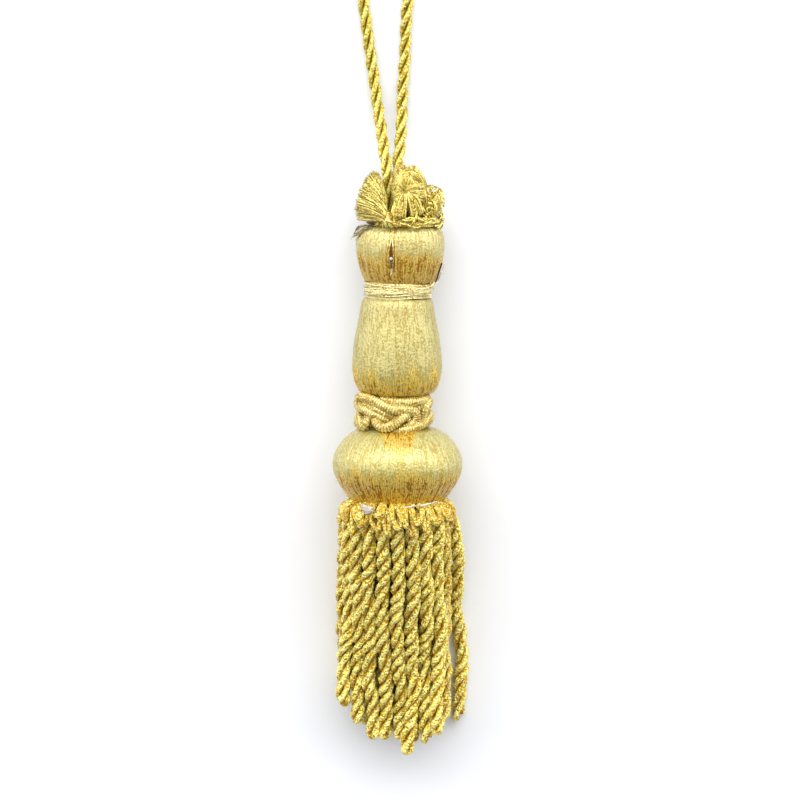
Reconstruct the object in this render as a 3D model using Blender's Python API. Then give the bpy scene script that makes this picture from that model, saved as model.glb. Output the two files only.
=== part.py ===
"""A gold thread tassel with a hanging loop, lying on its back.

Metres, +Z up. The tassel lies along Y on the surface z = 0, its loop towards +Y and its skirt towards -Y.
The head is a row of thread-wrapped turned pieces on one axis. It rests on its two widest places, the ball
and the upper bulb, so the axis slopes down a little towards the loop. The skirt's strands start in a round
heading below the ball, sink to the surface and lie there in a low pile with uneven ends.
"""

import math

import bmesh
import bpy
import numpy as np
from mathutils import Matrix, Vector

# --- Head: places along the axis are measured from the ball's widest section, + to the loop ---
BALL_X = -0.00065          # the head's axis, across
BALL_Y = 0.00077           # the ball's widest section, along
BALL_RADIUS = 0.01685
BULB_RADIUS = 0.01145
BULB_PLACE = 0.05775       # the upper bulb's widest section
FLAT_DEPTH = 0.0002        # how far each of them is pressed flat where it rests
BALL_HEIGHT = BALL_RADIUS - FLAT_DEPTH
HEAD_TILT = math.asin((BALL_RADIUS - BULB_RADIUS) / BULB_PLACE)

# Turned outlines, from the skirt's end to the loop's end: place along the axis, radius.
BALL_OUTLINE = (
    (-0.0096, 0.0110), (-0.0091, 0.0122), (-0.0078, 0.0132), (-0.0065, 0.0142), (-0.0039, 0.0156),
    (-0.0013, 0.0167), (0.0000, BALL_RADIUS), (0.0013, 0.0168), (0.0039, 0.01605), (0.0065, 0.01445),
    (0.0084, 0.0122), (0.0094, 0.0104), (0.0100, 0.0078),
)
PEAR_OUTLINE = (
    (0.0103, 0.0042), (0.0185, 0.0042), (0.01855, 0.00885), (0.0196, 0.00995), (0.0222, 0.01115),
    (0.0253, 0.0116), (0.0274, 0.01155), (0.0327, 0.0110), (0.0379, 0.0100), (0.0432, 0.0090),
    (0.0434, 0.0070), (0.0466, 0.0070),
)
BULB_OUTLINE = (
    (0.0470, 0.0088), (0.0477, 0.0093), (0.0502, 0.0102), (0.0528, 0.01085), (0.0552, 0.0113),
    (BULB_PLACE, BULB_RADIUS), (0.0602, 0.0110), (0.0615, 0.0098), (0.0622, 0.0084),
)
# The wrapping threads lie in bundles with creases between them.
WRAP_COLUMNS = ("name", "outline", "across", "bundles", "crease", "flat")
WRAPS = (
    ("lower_ball", BALL_OUTLINE, 0.0, 28, 0.00022, True),
    ("pear_body", PEAR_OUTLINE, -0.0001, 24, 0.00018, False),
    ("upper_bulb", BULB_OUTLINE, 0.0007, 24, 0.00018, True),
)
CREASE_UNEVENNESS = 0.25   # the share of a crease's depth that comes and goes round the piece
CREASE_WAVE = 2.3          # radians from one crease to the next

# --- Bindings ---
NECK_BINDING_X = 0.0004
NECK_BINDING_SPAN = (0.0437, 0.0467)
NECK_BINDING_RADIUS = 0.00915
NECK_BINDING_BORE = 0.0079
NECK_BINDING_TURNS = 4
NECK_BINDING_VALLEY = 0.0003
NECK_BINDING_SIDES = 28
RUFF_BINDING_X = 0.0003
RUFF_BINDING_PLACE = 0.0628
RUFF_BINDING_LIFT = 0.00045   # the surface pushes the ring up off the head's axis
RUFF_BINDING_RADIUS = 0.0103
RUFF_BINDING_THICKNESS = 0.0022
RUFF_BINDING_TWISTS = 6    # whole turns of the twist round the ring
RUFF_BINDING_SIDES = 36
RUFF_BINDING_PLIES = 3
RUFF_BINDING_VALLEY = 0.8  # reach between two plies, against a ply's own

# --- Plaited collar: one cord round the neck three times, over and under itself ---
COLLAR_X = -0.0012
COLLAR_PLACE = 0.01425
COLLAR_RADIUS = 0.0080     # to the middle of the plait
COLLAR_LAPS = 3
COLLAR_BIGHTS = 7          # loops along each rim
COLLAR_SWAY = 0.00285      # of the cord's middle, each way along the axis
COLLAR_WEAVE = 0.0014      # of the cord's middle, in and out
COLLAR_CORD = (0.0020, 0.0023)   # thickness in and out, width
COLLAR_POINTS_A_BIGHT = 12

# --- Ruff of spread thread ends: poufs and fans on a small crown ---
CROWN_RADIUS = 0.0082
CROWN_SPAN = (0.0625, 0.0645)
CROWN_SIDES = 24
# A fan spreads from its root: place across, along and up. Its outline gives the reach in each direction
# from the axis (degrees, + to the left).
FAN_COLUMNS = ("name", "across", "along", "up", "thick", "rise", "pleats", "outline")
FANS = (
    ("fan_left", -0.0040, 0.0640, 0.0010, 0.0024, -0.0008, 10,
     ((2, 0.0100), (13, 0.0126), (34, 0.0106), (57, 0.0092), (85, 0.0076))),
    ("fan_left_back", -0.0030, 0.0639, -0.0032, 0.0020, -0.0030, 6,
     ((20, 0.0092), (50, 0.0090), (83, 0.0078))),
    ("fan_right_back", 0.0036, 0.0639, -0.0030, 0.0020, -0.0030, 6,
     ((-83, 0.0078), (-52, 0.0094), (-31, 0.0100), (-12, 0.0108))),
)
FAN_ROWS = ((0.12, 0.75), (0.45, 1.0), (0.8, 0.9), (1.0, 0.35))     # reach from the root, fullness
FAN_EDGE = 0.6             # fullness along the two sides of a fan, against its middle
FAN_DEPTH = 0.8            # how deep a fan goes below its own face, in thicknesses
FAN_HEM_PLEAT = 0.3        # how much of a pleat shows in the fan's reach
# A pouf is a puffed lobe with a dimple: its middle, its half sizes and the number of its pleats.
POUF_COLUMNS = ("name", "across", "along", "up", "half_across", "half_along", "half_up", "pleats")
POUFS = (
    ("pouf_middle", 0.0020, 0.0704, 0.0070, 0.0049, 0.0059, 0.0027, 11),
    ("pouf_right", 0.0088, 0.0674, 0.0024, 0.0027, 0.0040, 0.0024, 7),
)
POUF_OUTLINE = (
    (0.0, 0.30), (0.16, 0.45), (0.55, 0.95), (0.88, 0.62), (1.0, 0.0), (0.75, -0.75), (0.0, -1.0),
)
STEM_RADIUS = 0.0013
STEM_SIDES = 8
STEM_FOOT = (0.8, 0.85)    # a stem's foot, as shares of its pouf's place across and up
PLEAT_DEPTH = 0.12         # of a pleat, against the lobe's own size

# --- Skirt: places along Y are measured from the ball's widest section ---
HEADING_SPAN = (-0.0112, -0.0099)
HEADING_RADIUS = 0.0140
HEADING_SIDES = 28
STRAND_RADIUS = 0.00175    # to the corners
STRAND_PITCH = 0.0038      # the least distance between two strands' middles
STRAND_STEP = 0.00215      # between two sections of a strand
STRAND_TURN = math.radians(45)
STRAND_RING_COLUMNS = ("strands", "radius", "first")   # the first strand's place is a share of the spacing
STRAND_RINGS = ((22, 0.0130, 0.5), (13, 0.0087, 0.0))
STRAND_BED = 0.0006        # how deep a strand's root sits in the heading
STRAND_TIP = 0.6           # of a strand's size, at its very end
STRAND_SLOPE = 0.36        # steepest fall of a strand that nothing holds up
STRAND_SLOPE_RUN = 0.012   # over which the fall grows to that
SPREAD = 0.08              # how much the strands spread sideways below the heading
SPREAD_RUN = 0.006
EASE_PASSES = 40
EASE_SHARE = 0.4           # of the missing distance that each pass makes up, on each side
LAST_STEP = 0.4            # the shortest last section of a strand, in steps
SKIRT_LEFT = -0.0165
SKIRT_RIGHT = 0.0131
# One strand lies apart at the right: its place along and across.
STRAY_NUMBER = 20          # in the outer ring
STRAY_COLUMNS = ("along", "across")
STRAY = ((-0.011, 0.0116), (-0.019, 0.0149), (-0.040, 0.0149), (-0.050, 0.0161), (-0.080, 0.0161))
# The hem: where the strands end, across and along.
HEM_COLUMNS = ("across", "along")
HEM = (
    (-0.0146, -0.0668), (-0.0112, -0.0718), (-0.0068, -0.0768), (-0.0030, -0.0760), (0.0000, -0.0762),
    (0.0021, -0.0788), (0.0042, -0.0770), (0.0062, -0.0764), (0.0107, -0.0716), (0.0161, -0.0763),
)
HEM_TUCK = 0.0008          # how much shorter each layer below the top one is

# --- Hanging loop: its middle line's own points, across, along from the ball, and above the surface ---
LOOP_RADIUS = 0.00155
LOOP_VALLEY = 0.00115      # radius between two plies
LOOP_PLIES = 3
LOOP_STEP = 0.0024
LOOP_LAY = 0.0144          # length of one whole turn of the twist
SMOOTHING = 24             # places on a smooth route between two of its own points
LOOP_ROUTE = (
    (-0.0022, 0.0650, 0.0128), (-0.0030, 0.0705, 0.0132), (-0.0033, 0.0766, 0.0116),
    (-0.0040, 0.0806, 0.0093), (-0.0047, 0.0858, 0.0062), (-0.0056, 0.0909, 0.0038),
    (-0.0064, 0.0966, 0.0022), (-0.0078, 0.1065, 0.00165), (-0.0096, 0.1202, 0.00165),
    (-0.0110, 0.1330, 0.00165), (-0.0116, 0.1430, 0.00165), (-0.0106, 0.1525, 0.00165),
    (-0.0070, 0.1590, 0.00165), (-0.0018, 0.1612, 0.00165), (0.0032, 0.1588, 0.00165),
    (0.0062, 0.1518, 0.00165), (0.0066, 0.1430, 0.00165), (0.0046, 0.1330, 0.00165),
    (0.0021, 0.1202, 0.00165), (0.0012, 0.1036, 0.00165), (0.0007, 0.0966, 0.0021),
    (0.0005, 0.0909, 0.0032), (0.0003, 0.0858, 0.0052), (-0.0002, 0.0806, 0.0075),
    (-0.0005, 0.0766, 0.0092), (0.0002, 0.0705, 0.0106), (0.0008, 0.0650, 0.0109),
)

SHARP_ANGLE = math.radians(40)
# Colour, roughness and metallic value of each piece.
FINISHES = {
    "lower_ball": ((0.80, 0.68, 0.30), 0.42, 0.7),
    "pear_body": ((0.84, 0.76, 0.42), 0.42, 0.7),
    "upper_bulb": ((0.82, 0.72, 0.36), 0.42, 0.7),
    "neck_binding": ((0.84, 0.78, 0.48), 0.40, 0.7),
    "ruff_binding": ((0.72, 0.58, 0.22), 0.45, 0.7),
    "plaited_collar": ((0.82, 0.72, 0.38), 0.45, 0.7),
    "ruff": ((0.76, 0.64, 0.26), 0.45, 0.7),
    "skirt": ((0.72, 0.56, 0.16), 0.38, 0.8),
    "hanging_loop": ((0.82, 0.70, 0.24), 0.38, 0.8),
}

HEAD_MATRIX = (Matrix.Translation((BALL_X, BALL_Y, BALL_HEIGHT))
               @ Matrix.Rotation(-(math.pi / 2 + HEAD_TILT), 4, "X"))


def clear_scene():
    """Remove every object that the scene holds."""
    for old in list(bpy.data.objects):
        bpy.data.objects.remove(old, do_unlink=True)


def give_material(obj):
    """Give a piece its own Principled material."""
    colour, roughness, metallic = FINISHES[obj.name]
    material = bpy.data.materials.new(obj.name)
    material.use_nodes = True
    shader = material.node_tree.nodes["Principled BSDF"]
    shader.inputs["Base Color"].default_value = (*colour, 1.0)
    shader.inputs["Roughness"].default_value = roughness
    shader.inputs["Metallic"].default_value = metallic
    obj.data.materials.append(material)


def link(name, data, matrix=None):
    """Make an object of the data, in the scene, placed by the matrix."""
    obj = bpy.data.objects.new(name, data)
    bpy.context.collection.objects.link(obj)
    if matrix is not None:
        obj.matrix_world = matrix
    return obj


def mesh_object(name, bm, matrix=None):
    """Turn a bmesh into a named object, its faces pointing out."""
    bmesh.ops.recalc_face_normals(bm, faces=bm.faces)
    mesh = bpy.data.meshes.new(name)
    bm.to_mesh(mesh)
    bm.free()
    return link(name, mesh, matrix)


def as_guide(obj):
    """Keep an object out of the model: it only shapes another one."""
    obj.hide_render = True
    obj.display_type = "WIRE"
    return obj


def unite(obj, guide):
    """Fuse a guide's shape into an object."""
    boolean = obj.modifiers.new(guide.name, "BOOLEAN")
    boolean.operation = "UNION"
    boolean.solver = "EXACT"
    boolean.object = as_guide(guide)


def head_point(across, along, up):
    """A place in the head's own axes: +Z along the axis to the loop, +X across, and up is -Y."""
    return Vector((across, -up, along))


def at(table, value):
    """A table's second column at this value of its first, with straight runs between the rows."""
    rows = sorted(table)
    return float(np.interp(value, [row[0] for row in rows], [row[1] for row in rows]))


# --- Turned pieces ---

def turned(outline, across, steps):
    """A bmesh of an outline turned about the head's axis, its two ends closed."""
    bm = bmesh.new()
    low, high = outline[0][0], outline[-1][0]
    points = [(low, 0.0), *outline, (high, 0.0)]
    verts = [bm.verts.new((radius, 0.0, along)) for along, radius in points]
    edges = [bm.edges.new(pair) for pair in zip(verts, verts[1:])]
    bmesh.ops.spin(bm, geom=verts + edges, cent=(0, 0, 0), axis=(0, 0, 1), angle=2 * math.pi, steps=steps,
                   use_merge=True)
    bmesh.ops.remove_doubles(bm, verts=bm.verts, dist=1e-6)
    for vert in bm.verts:
        vert.co.x += across
    return bm


def crease(bm, across, bundles, depth, span):
    """Draw every other meridian in, to show the wrapping's bundles; the creases fade at the ends."""
    low, high = span
    for vert in bm.verts:
        offset = Vector((vert.co.x - across, vert.co.y))
        if offset.length < 1e-5:
            continue
        meridian = round(math.atan2(offset.y, offset.x) / math.pi * bundles) % (2 * bundles)
        if meridian % 2:
            fade = math.sin(math.pi * min(1.0, max(0.0, (vert.co.z - low) / (high - low))))
            uneven = 1 - CREASE_UNEVENNESS * (1 - math.sin(CREASE_WAVE * meridian))
            offset *= 1.0 - depth * fade * uneven / offset.length
            vert.co.x, vert.co.y = across + offset.x, offset.y


def press_flat(bm):
    """Cut a head piece level with the surface that it rests on."""
    to_head = HEAD_MATRIX.inverted()
    floor = to_head @ Vector((0, 0, 0))
    up = to_head.to_3x3() @ Vector((0, 0, 1))
    geometry = bm.verts[:] + bm.edges[:] + bm.faces[:]
    cut = bmesh.ops.bisect_plane(bm, geom=geometry, plane_co=floor, plane_no=up, clear_inner=True)
    rim = [item for item in cut["geom_cut"] if isinstance(item, bmesh.types.BMEdge)]
    bmesh.ops.contextual_create(bm, geom=rim)


def make_wrapped(wrap):
    """One thread-wrapped turned piece of the head."""
    outline = wrap["outline"]
    bm = turned(outline, wrap["across"], 2 * wrap["bundles"])
    widest = max(range(len(outline)), key=lambda row: outline[row][1])
    reach = min(outline[widest][0] - outline[0][0], outline[-1][0] - outline[widest][0])
    crease(bm, wrap["across"], wrap["bundles"], wrap["crease"],
           (outline[widest][0] - reach, outline[widest][0] + reach))
    if wrap["flat"]:
        press_flat(bm)
    return mesh_object(wrap["name"], bm, HEAD_MATRIX)


def make_neck_binding():
    """Turns of thread round the neck between the bulb and the pear, as one ridged ring."""
    low, high = NECK_BINDING_SPAN
    pitch = (high - low) / NECK_BINDING_TURNS
    profile = [(low, NECK_BINDING_BORE)]
    for turn in range(NECK_BINDING_TURNS):
        profile.append((low + turn * pitch, NECK_BINDING_RADIUS - NECK_BINDING_VALLEY))
        profile.append((low + (turn + 0.5) * pitch, NECK_BINDING_RADIUS))
    profile += [(high, NECK_BINDING_RADIUS - NECK_BINDING_VALLEY), (high, NECK_BINDING_BORE)]
    bm = bmesh.new()
    verts = [bm.verts.new((radius, 0.0, along)) for along, radius in profile]
    edges = [bm.edges.new((verts[i], verts[(i + 1) % len(verts)])) for i in range(len(verts))]
    bmesh.ops.spin(bm, geom=verts + edges, cent=(0, 0, 0), axis=(0, 0, 1), angle=2 * math.pi,
                   steps=NECK_BINDING_SIDES, use_merge=True)
    bmesh.ops.remove_doubles(bm, verts=bm.verts, dist=1e-6)
    for vert in bm.verts:
        vert.co.x += NECK_BINDING_X
    return mesh_object("neck_binding", bm, HEAD_MATRIX)


# --- Cords ---

def section(name, points):
    """A closed profile for a cord, as a guide; it runs clockwise, so that the cord faces out."""
    curve = bpy.data.curves.new(name, "CURVE")
    spline = curve.splines.new("POLY")
    spline.points.add(len(points) - 1)
    for point, (x, y) in zip(spline.points, reversed(points)):
        point.co = (x, y, 0.0, 1.0)
    spline.use_cyclic_u = True
    return as_guide(link(name, curve))


def round_section(name, half_x, half_y, sides):
    """A regular profile of so many sides, stretched to its half sizes."""
    turn = 2 * math.pi / sides
    return section(name, [(half_x * math.cos(i * turn), half_y * math.sin(i * turn)) for i in range(sides)])


def ply_section(name, plies, radius, valley):
    """The profile of a twisted cord: a corner for each ply and a valley after it."""
    turn = math.pi / plies
    reaches = (radius, valley) * plies
    return section(name, [(reach * math.cos(i * turn), reach * math.sin(i * turn))
                          for i, reach in enumerate(reaches)])


def cord_curve(name, runs, profile, cyclic=False):
    """The profile swept along each run, given as its points and the tilt and the scale at each."""
    curve = bpy.data.curves.new(name, "CURVE")
    curve.dimensions = "3D"
    curve.twist_mode = "Z_UP"
    curve.bevel_mode = "OBJECT"
    curve.bevel_object = profile
    curve.use_fill_caps = not cyclic
    for points, tilts, scales in runs:
        spline = curve.splines.new("POLY")
        spline.points.add(len(points) - 1)
        for knot, place, tilt, scale in zip(spline.points, points, tilts, scales):
            knot.co = (*place, 1.0)
            knot.tilt = tilt
            knot.radius = scale
        spline.use_cyclic_u = cyclic
    return curve


def mesh_of_curve(name, curve, matrix=None):
    """Turn a curve into a mesh object, its faces pointing out."""
    holder = link(name + "_route", curve)
    mesh = bpy.data.meshes.new_from_object(holder.evaluated_get(bpy.context.evaluated_depsgraph_get()))
    bpy.data.objects.remove(holder, do_unlink=True)
    bm = bmesh.new()
    bm.from_mesh(mesh)
    bpy.data.meshes.remove(mesh)
    bmesh.ops.remove_doubles(bm, verts=bm.verts, dist=1e-7)
    return mesh_object(name, bm, matrix)


def smooth_route(knots, step):
    """Points a step apart along a smooth curve through the knots."""
    knots = [Vector(knot) for knot in knots]
    padded = [2 * knots[0] - knots[1], *knots, 2 * knots[-1] - knots[-2]]
    fine = []
    for before, start, end, after in zip(padded, padded[1:], padded[2:], padded[3:]):
        for i in range(SMOOTHING):
            t = i / SMOOTHING
            bend = 2 * before - 5 * start + 4 * end - after
            swing = 3 * start - before - 3 * end + after
            fine.append((2 * start + (end - before) * t + bend * t ** 2 + swing * t ** 3) / 2)
    fine.append(knots[-1])
    lengths = [0.0]
    for one, other in zip(fine, fine[1:]):
        lengths.append(lengths[-1] + (other - one).length)
    count = round(lengths[-1] / step)
    places = [lengths[-1] * i / count for i in range(count + 1)]
    return [Vector([float(np.interp(place, lengths, [p[axis] for p in fine])) for axis in range(3)])
            for place in places]


def make_ruff_binding():
    """The twisted cord that ties the thread ends down on top of the bulb."""
    turn = 2 * math.pi / RUFF_BINDING_SIDES
    points = [head_point(RUFF_BINDING_X + RUFF_BINDING_RADIUS * math.cos(i * turn), RUFF_BINDING_PLACE,
                         RUFF_BINDING_LIFT - RUFF_BINDING_RADIUS * math.sin(i * turn))
              for i in range(RUFF_BINDING_SIDES)]
    tilts = [-RUFF_BINDING_TWISTS * i * turn for i in range(RUFF_BINDING_SIDES)]
    half = RUFF_BINDING_THICKNESS / 2
    profile = ply_section("ruff_binding_section", RUFF_BINDING_PLIES, half, half * RUFF_BINDING_VALLEY)
    curve = cord_curve("ruff_binding", [(points, tilts, [1.0] * len(points))], profile, cyclic=True)
    return mesh_of_curve("ruff_binding", curve, HEAD_MATRIX)


def make_collar():
    """The plait round the neck: one closed cord that goes over and under itself."""
    count = COLLAR_POINTS_A_BIGHT * COLLAR_BIGHTS
    points = []
    for i in range(count):
        sway = 2 * math.pi * COLLAR_BIGHTS * i / count
        lap = 2 * math.pi * COLLAR_LAPS * i / count
        radius = COLLAR_RADIUS + COLLAR_WEAVE * math.sin(2 * sway)
        points.append((COLLAR_X + radius * math.cos(lap), radius * math.sin(lap),
                       COLLAR_PLACE + COLLAR_SWAY * math.sin(sway)))
    thick, wide = COLLAR_CORD
    profile = round_section("plaited_collar_section", thick / 2, wide / 2, 6)
    curve = cord_curve("plaited_collar", [(points, [0.0] * count, [1.0] * count)], profile, cyclic=True)
    return mesh_of_curve("plaited_collar", curve, HEAD_MATRIX)


def make_loop():
    """The hanging loop: a twisted cord out of the head, round a bend and back."""
    points = smooth_route([(x, BALL_Y + y, z) for x, y, z in LOOP_ROUTE], LOOP_STEP)
    profile = ply_section("hanging_loop_section", LOOP_PLIES, LOOP_RADIUS, LOOP_VALLEY)
    tilts = [2 * math.pi * LOOP_STEP * i / LOOP_LAY for i in range(len(points))]
    curve = cord_curve("hanging_loop", [(points, tilts, [1.0] * len(points))], profile)
    return link("hanging_loop", curve)


# --- Ruff ---

def make_fan(fan):
    """A flat, pleated spread of threads from one root, closed all round."""
    columns = 2 * fan["pleats"]
    rows = len(FAN_ROWS) - 1
    bm = bmesh.new()
    bmesh.ops.create_grid(bm, x_segments=columns, y_segments=rows, size=0.5)
    for vert in bm.verts:
        side = vert.co.x + 0.5
        reach, fullness = FAN_ROWS[round((vert.co.y + 0.5) * rows)]
        degrees = fan["outline"][0][0] * (1 - side) + fan["outline"][-1][0] * side
        direction = math.radians(degrees)
        length = at(fan["outline"], degrees)
        middle = 4 * side * (1 - side)
        pleat = PLEAT_DEPTH * (1 if round(side * columns) % 2 else -1)
        out = length * reach * (1 + FAN_HEM_PLEAT * pleat)
        full = fullness * (FAN_EDGE + (1 - FAN_EDGE) * middle)
        lift = fan["rise"] * reach ** 2 + fan["thick"] * full * (0.5 + pleat)
        vert.co = head_point(fan["across"] - out * math.sin(direction),
                             fan["along"] + out * math.cos(direction), fan["up"] + lift)
    grown = bmesh.ops.extrude_face_region(bm, geom=bm.faces[:])
    for item in grown["geom"]:
        if isinstance(item, bmesh.types.BMVert):
            item.co += head_point(0, 0, -FAN_DEPTH * fan["thick"])
    return mesh_object(fan["name"], bm, HEAD_MATRIX)


def make_pouf(pouf):
    """A puffed lobe with a dimple on top."""
    bm = bmesh.new()
    verts = [bm.verts.new((reach, 0.0, lift)) for reach, lift in POUF_OUTLINE]
    edges = [bm.edges.new(pair) for pair in zip(verts, verts[1:])]
    bmesh.ops.spin(bm, geom=verts + edges, cent=(0, 0, 0), axis=(0, 0, 1), angle=2 * math.pi,
                   steps=2 * pouf["pleats"], use_merge=True)
    bmesh.ops.remove_doubles(bm, verts=bm.verts, dist=1e-4)
    for vert in bm.verts:
        meridian = round(math.atan2(vert.co.y, vert.co.x) / math.pi * pouf["pleats"])
        pleat = 1 + PLEAT_DEPTH * (0.5 if meridian % 2 else -0.5)
        vert.co = head_point(pouf["across"] + pouf["half_across"] * vert.co.x * pleat,
                             pouf["along"] + pouf["half_along"] * vert.co.y * pleat,
                             pouf["up"] + pouf["half_up"] * vert.co.z)
    return mesh_object(pouf["name"], bm, HEAD_MATRIX)


def make_stem(pouf):
    """The threads that lead from the crown up into a pouf."""
    foot = head_point(STEM_FOOT[0] * pouf["across"], sum(CROWN_SPAN) / 2, STEM_FOOT[1] * pouf["up"])
    head = head_point(pouf["across"], pouf["along"], pouf["up"])
    run = head - foot
    place = Matrix.Translation((foot + head) / 2) @ run.to_track_quat("Z", "Y").to_matrix().to_4x4()
    bm = bmesh.new()
    bmesh.ops.create_cone(bm, cap_ends=True, segments=STEM_SIDES, radius1=STEM_RADIUS, radius2=STEM_RADIUS,
                          depth=run.length, matrix=place)
    return mesh_object(pouf["name"] + "_stem", bm, HEAD_MATRIX)


def make_ruff():
    """The spread ends of the wrapping threads, fused at their roots into a crown inside the binding."""
    low, high = CROWN_SPAN
    crown = turned(((low, CROWN_RADIUS), (high, CROWN_RADIUS)), RUFF_BINDING_X, CROWN_SIDES)
    ruff = mesh_object("ruff", crown, HEAD_MATRIX)
    for row in FANS:
        unite(ruff, make_fan(dict(zip(FAN_COLUMNS, row))))
    for row in POUFS:
        pouf = dict(zip(POUF_COLUMNS, row))
        unite(ruff, make_stem(pouf))
        unite(ruff, make_pouf(pouf))
    return ruff


# --- Skirt ---

def skirt_roots():
    """Where each strand leaves the heading, as world points: the outer ring first."""
    roots = []
    for count, radius, first in STRAND_RINGS:
        for i in range(count):
            angle = 2 * math.pi * (i + first) / count
            place = head_point(radius * math.cos(angle), HEADING_SPAN[0], radius * math.sin(angle))
            roots.append(HEAD_MATRIX @ place)
    return roots


def ease_apart(places, stray_across):
    """Move the strands' middles, across and up, until none is nearer to another than the pitch."""
    for _ in range(EASE_PASSES):
        apart = places[:, None] - places[None]
        distance = np.hypot(apart[..., 0], apart[..., 1]) + np.eye(len(places))
        short = np.clip(STRAND_PITCH - distance, 0.0, None) * (1 - np.eye(len(places)))
        places = places + EASE_SHARE * (apart / distance[..., None] * short[..., None]).sum(axis=1)
        places[:, 0] = np.clip(places[:, 0], SKIRT_LEFT + STRAND_RADIUS, SKIRT_RIGHT - STRAND_RADIUS)
        places[STRAY_NUMBER, 0] = stray_across
        places[:, 1] = np.maximum(places[:, 1], STRAND_RADIUS)
    return places


def strand_routes():
    """The middle line of each strand: it falls from the heading until the floor or the others hold it."""
    roots = skirt_roots()
    places = np.array([(root.x, root.z) for root in roots])
    alongs = np.array([root.y for root in roots])
    routes = [[tuple(root)] for root in roots]
    last = BALL_Y + min(end for _, end in HEM) - STRAND_STEP
    travelled = 0.0
    while alongs.max() > last:
        travelled += STRAND_STEP
        alongs = alongs - STRAND_STEP
        places[:, 1] -= STRAND_STEP * STRAND_SLOPE * min(1.0, travelled / STRAND_SLOPE_RUN)
        if travelled <= SPREAD_RUN:
            places[:, 0] = BALL_X + (places[:, 0] - BALL_X) * (1 + SPREAD * STRAND_STEP / SPREAD_RUN)
        places = ease_apart(places, at(STRAY, alongs[STRAY_NUMBER] - BALL_Y))
        for route, (across, up), along in zip(routes, places, alongs):
            route.append((across, along, up))
    return [np.array(route) for route in routes]


def finished_route(route, top):
    """A route eased once more and cut at the hem: a strand under others is a little shorter."""
    eased = route.copy()
    eased[1:-1] = (route[:-2] + 2 * route[1:-1] + route[2:]) / 4
    eased[:, 2] = np.maximum(eased[:, 2], STRAND_RADIUS)
    layers_down = max(0.0, (top - eased[-1, 2]) / STRAND_PITCH)
    end = BALL_Y + at(HEM, eased[-1, 0]) + HEM_TUCK * layers_down
    kept = [Vector(point) for point in eased if point[1] > end + LAST_STEP * STRAND_STEP]
    last = [float(np.interp(-end, -eased[:, 1], eased[:, axis])) for axis in range(3)]
    return kept + [Vector(last)]


def make_skirt():
    """The bullion strands, fused at their roots into the round heading under the ball."""
    low, high = HEADING_SPAN
    heading = turned(((low, HEADING_RADIUS), (high, HEADING_RADIUS)), 0.0, HEADING_SIDES)
    skirt = mesh_object("skirt", heading, HEAD_MATRIX)
    routes = strand_routes()
    top = max(route[-1, 2] for route in routes)
    into_heading = HEAD_MATRIX.to_3x3() @ Vector((0, 0, STRAND_BED))
    runs = []
    for number, route in enumerate(routes):
        points = finished_route(route, top)
        points[0] = points[0] + into_heading
        tilts = [STRAND_TURN * i + number for i in range(len(points))]
        scales = [1.0] * (len(points) - 1) + [STRAND_TIP]
        runs.append((points, tilts, scales))
    profile = round_section("skirt_section", STRAND_RADIUS, STRAND_RADIUS, 4)
    unite(skirt, mesh_of_curve("skirt_strands", cord_curve("skirt_strands", runs, profile)))
    return skirt


def main():
    """Build every piece, give it its material and shade the round ones smooth."""
    clear_scene()
    pieces = [make_wrapped(dict(zip(WRAP_COLUMNS, row))) for row in WRAPS]
    pieces += [make_neck_binding(), make_ruff_binding(), make_collar()]
    pieces += [make_ruff(), make_skirt(), make_loop()]
    for piece in pieces:
        give_material(piece)
        if piece.type == "MESH":
            piece.data.shade_smooth()
            piece.data.set_sharp_from_angle(angle=SHARP_ANGLE)


main()
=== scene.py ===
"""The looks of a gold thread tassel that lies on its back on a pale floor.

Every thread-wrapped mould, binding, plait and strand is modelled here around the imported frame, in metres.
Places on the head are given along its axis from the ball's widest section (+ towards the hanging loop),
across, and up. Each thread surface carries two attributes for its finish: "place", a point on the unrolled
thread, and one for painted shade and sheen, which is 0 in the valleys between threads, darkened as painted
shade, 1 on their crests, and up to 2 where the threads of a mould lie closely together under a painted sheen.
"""

import math

import bmesh
import bpy
import numpy as np
from mathutils import Matrix, Vector


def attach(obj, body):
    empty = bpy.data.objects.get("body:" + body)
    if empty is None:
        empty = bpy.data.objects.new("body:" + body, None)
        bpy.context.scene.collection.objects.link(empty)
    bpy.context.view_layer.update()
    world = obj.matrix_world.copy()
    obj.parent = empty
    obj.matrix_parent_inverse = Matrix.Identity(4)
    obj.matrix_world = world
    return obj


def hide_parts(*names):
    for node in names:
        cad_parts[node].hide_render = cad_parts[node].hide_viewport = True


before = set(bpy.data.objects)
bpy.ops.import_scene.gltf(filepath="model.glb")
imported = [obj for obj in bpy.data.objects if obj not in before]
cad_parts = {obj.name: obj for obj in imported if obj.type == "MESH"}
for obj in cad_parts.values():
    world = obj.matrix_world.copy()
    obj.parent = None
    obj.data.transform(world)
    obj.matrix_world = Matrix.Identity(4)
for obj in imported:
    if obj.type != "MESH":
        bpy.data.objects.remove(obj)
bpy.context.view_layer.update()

MM = 0.001

# --- The head's place: on its back, on the ball and the upper bulb ---
BALL_X = -0.00065
BALL_Y = 0.00077
BALL_RADIUS = 0.01685
BULB_RADIUS = 0.01145
BULB_PLACE = 0.05775
FLAT_DEPTH = 0.0002
BALL_HEIGHT = BALL_RADIUS - FLAT_DEPTH
HEAD_TILT = math.asin((BALL_RADIUS - BULB_RADIUS) / BULB_PLACE)
HEAD_MATRIX = (Matrix.Translation((BALL_X, BALL_Y, BALL_HEIGHT))
               @ Matrix.Rotation(-(math.pi / 2 + HEAD_TILT), 4, "X"))
FLOOR_GAP = 0.00005        # between the thread and the floor

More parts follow.
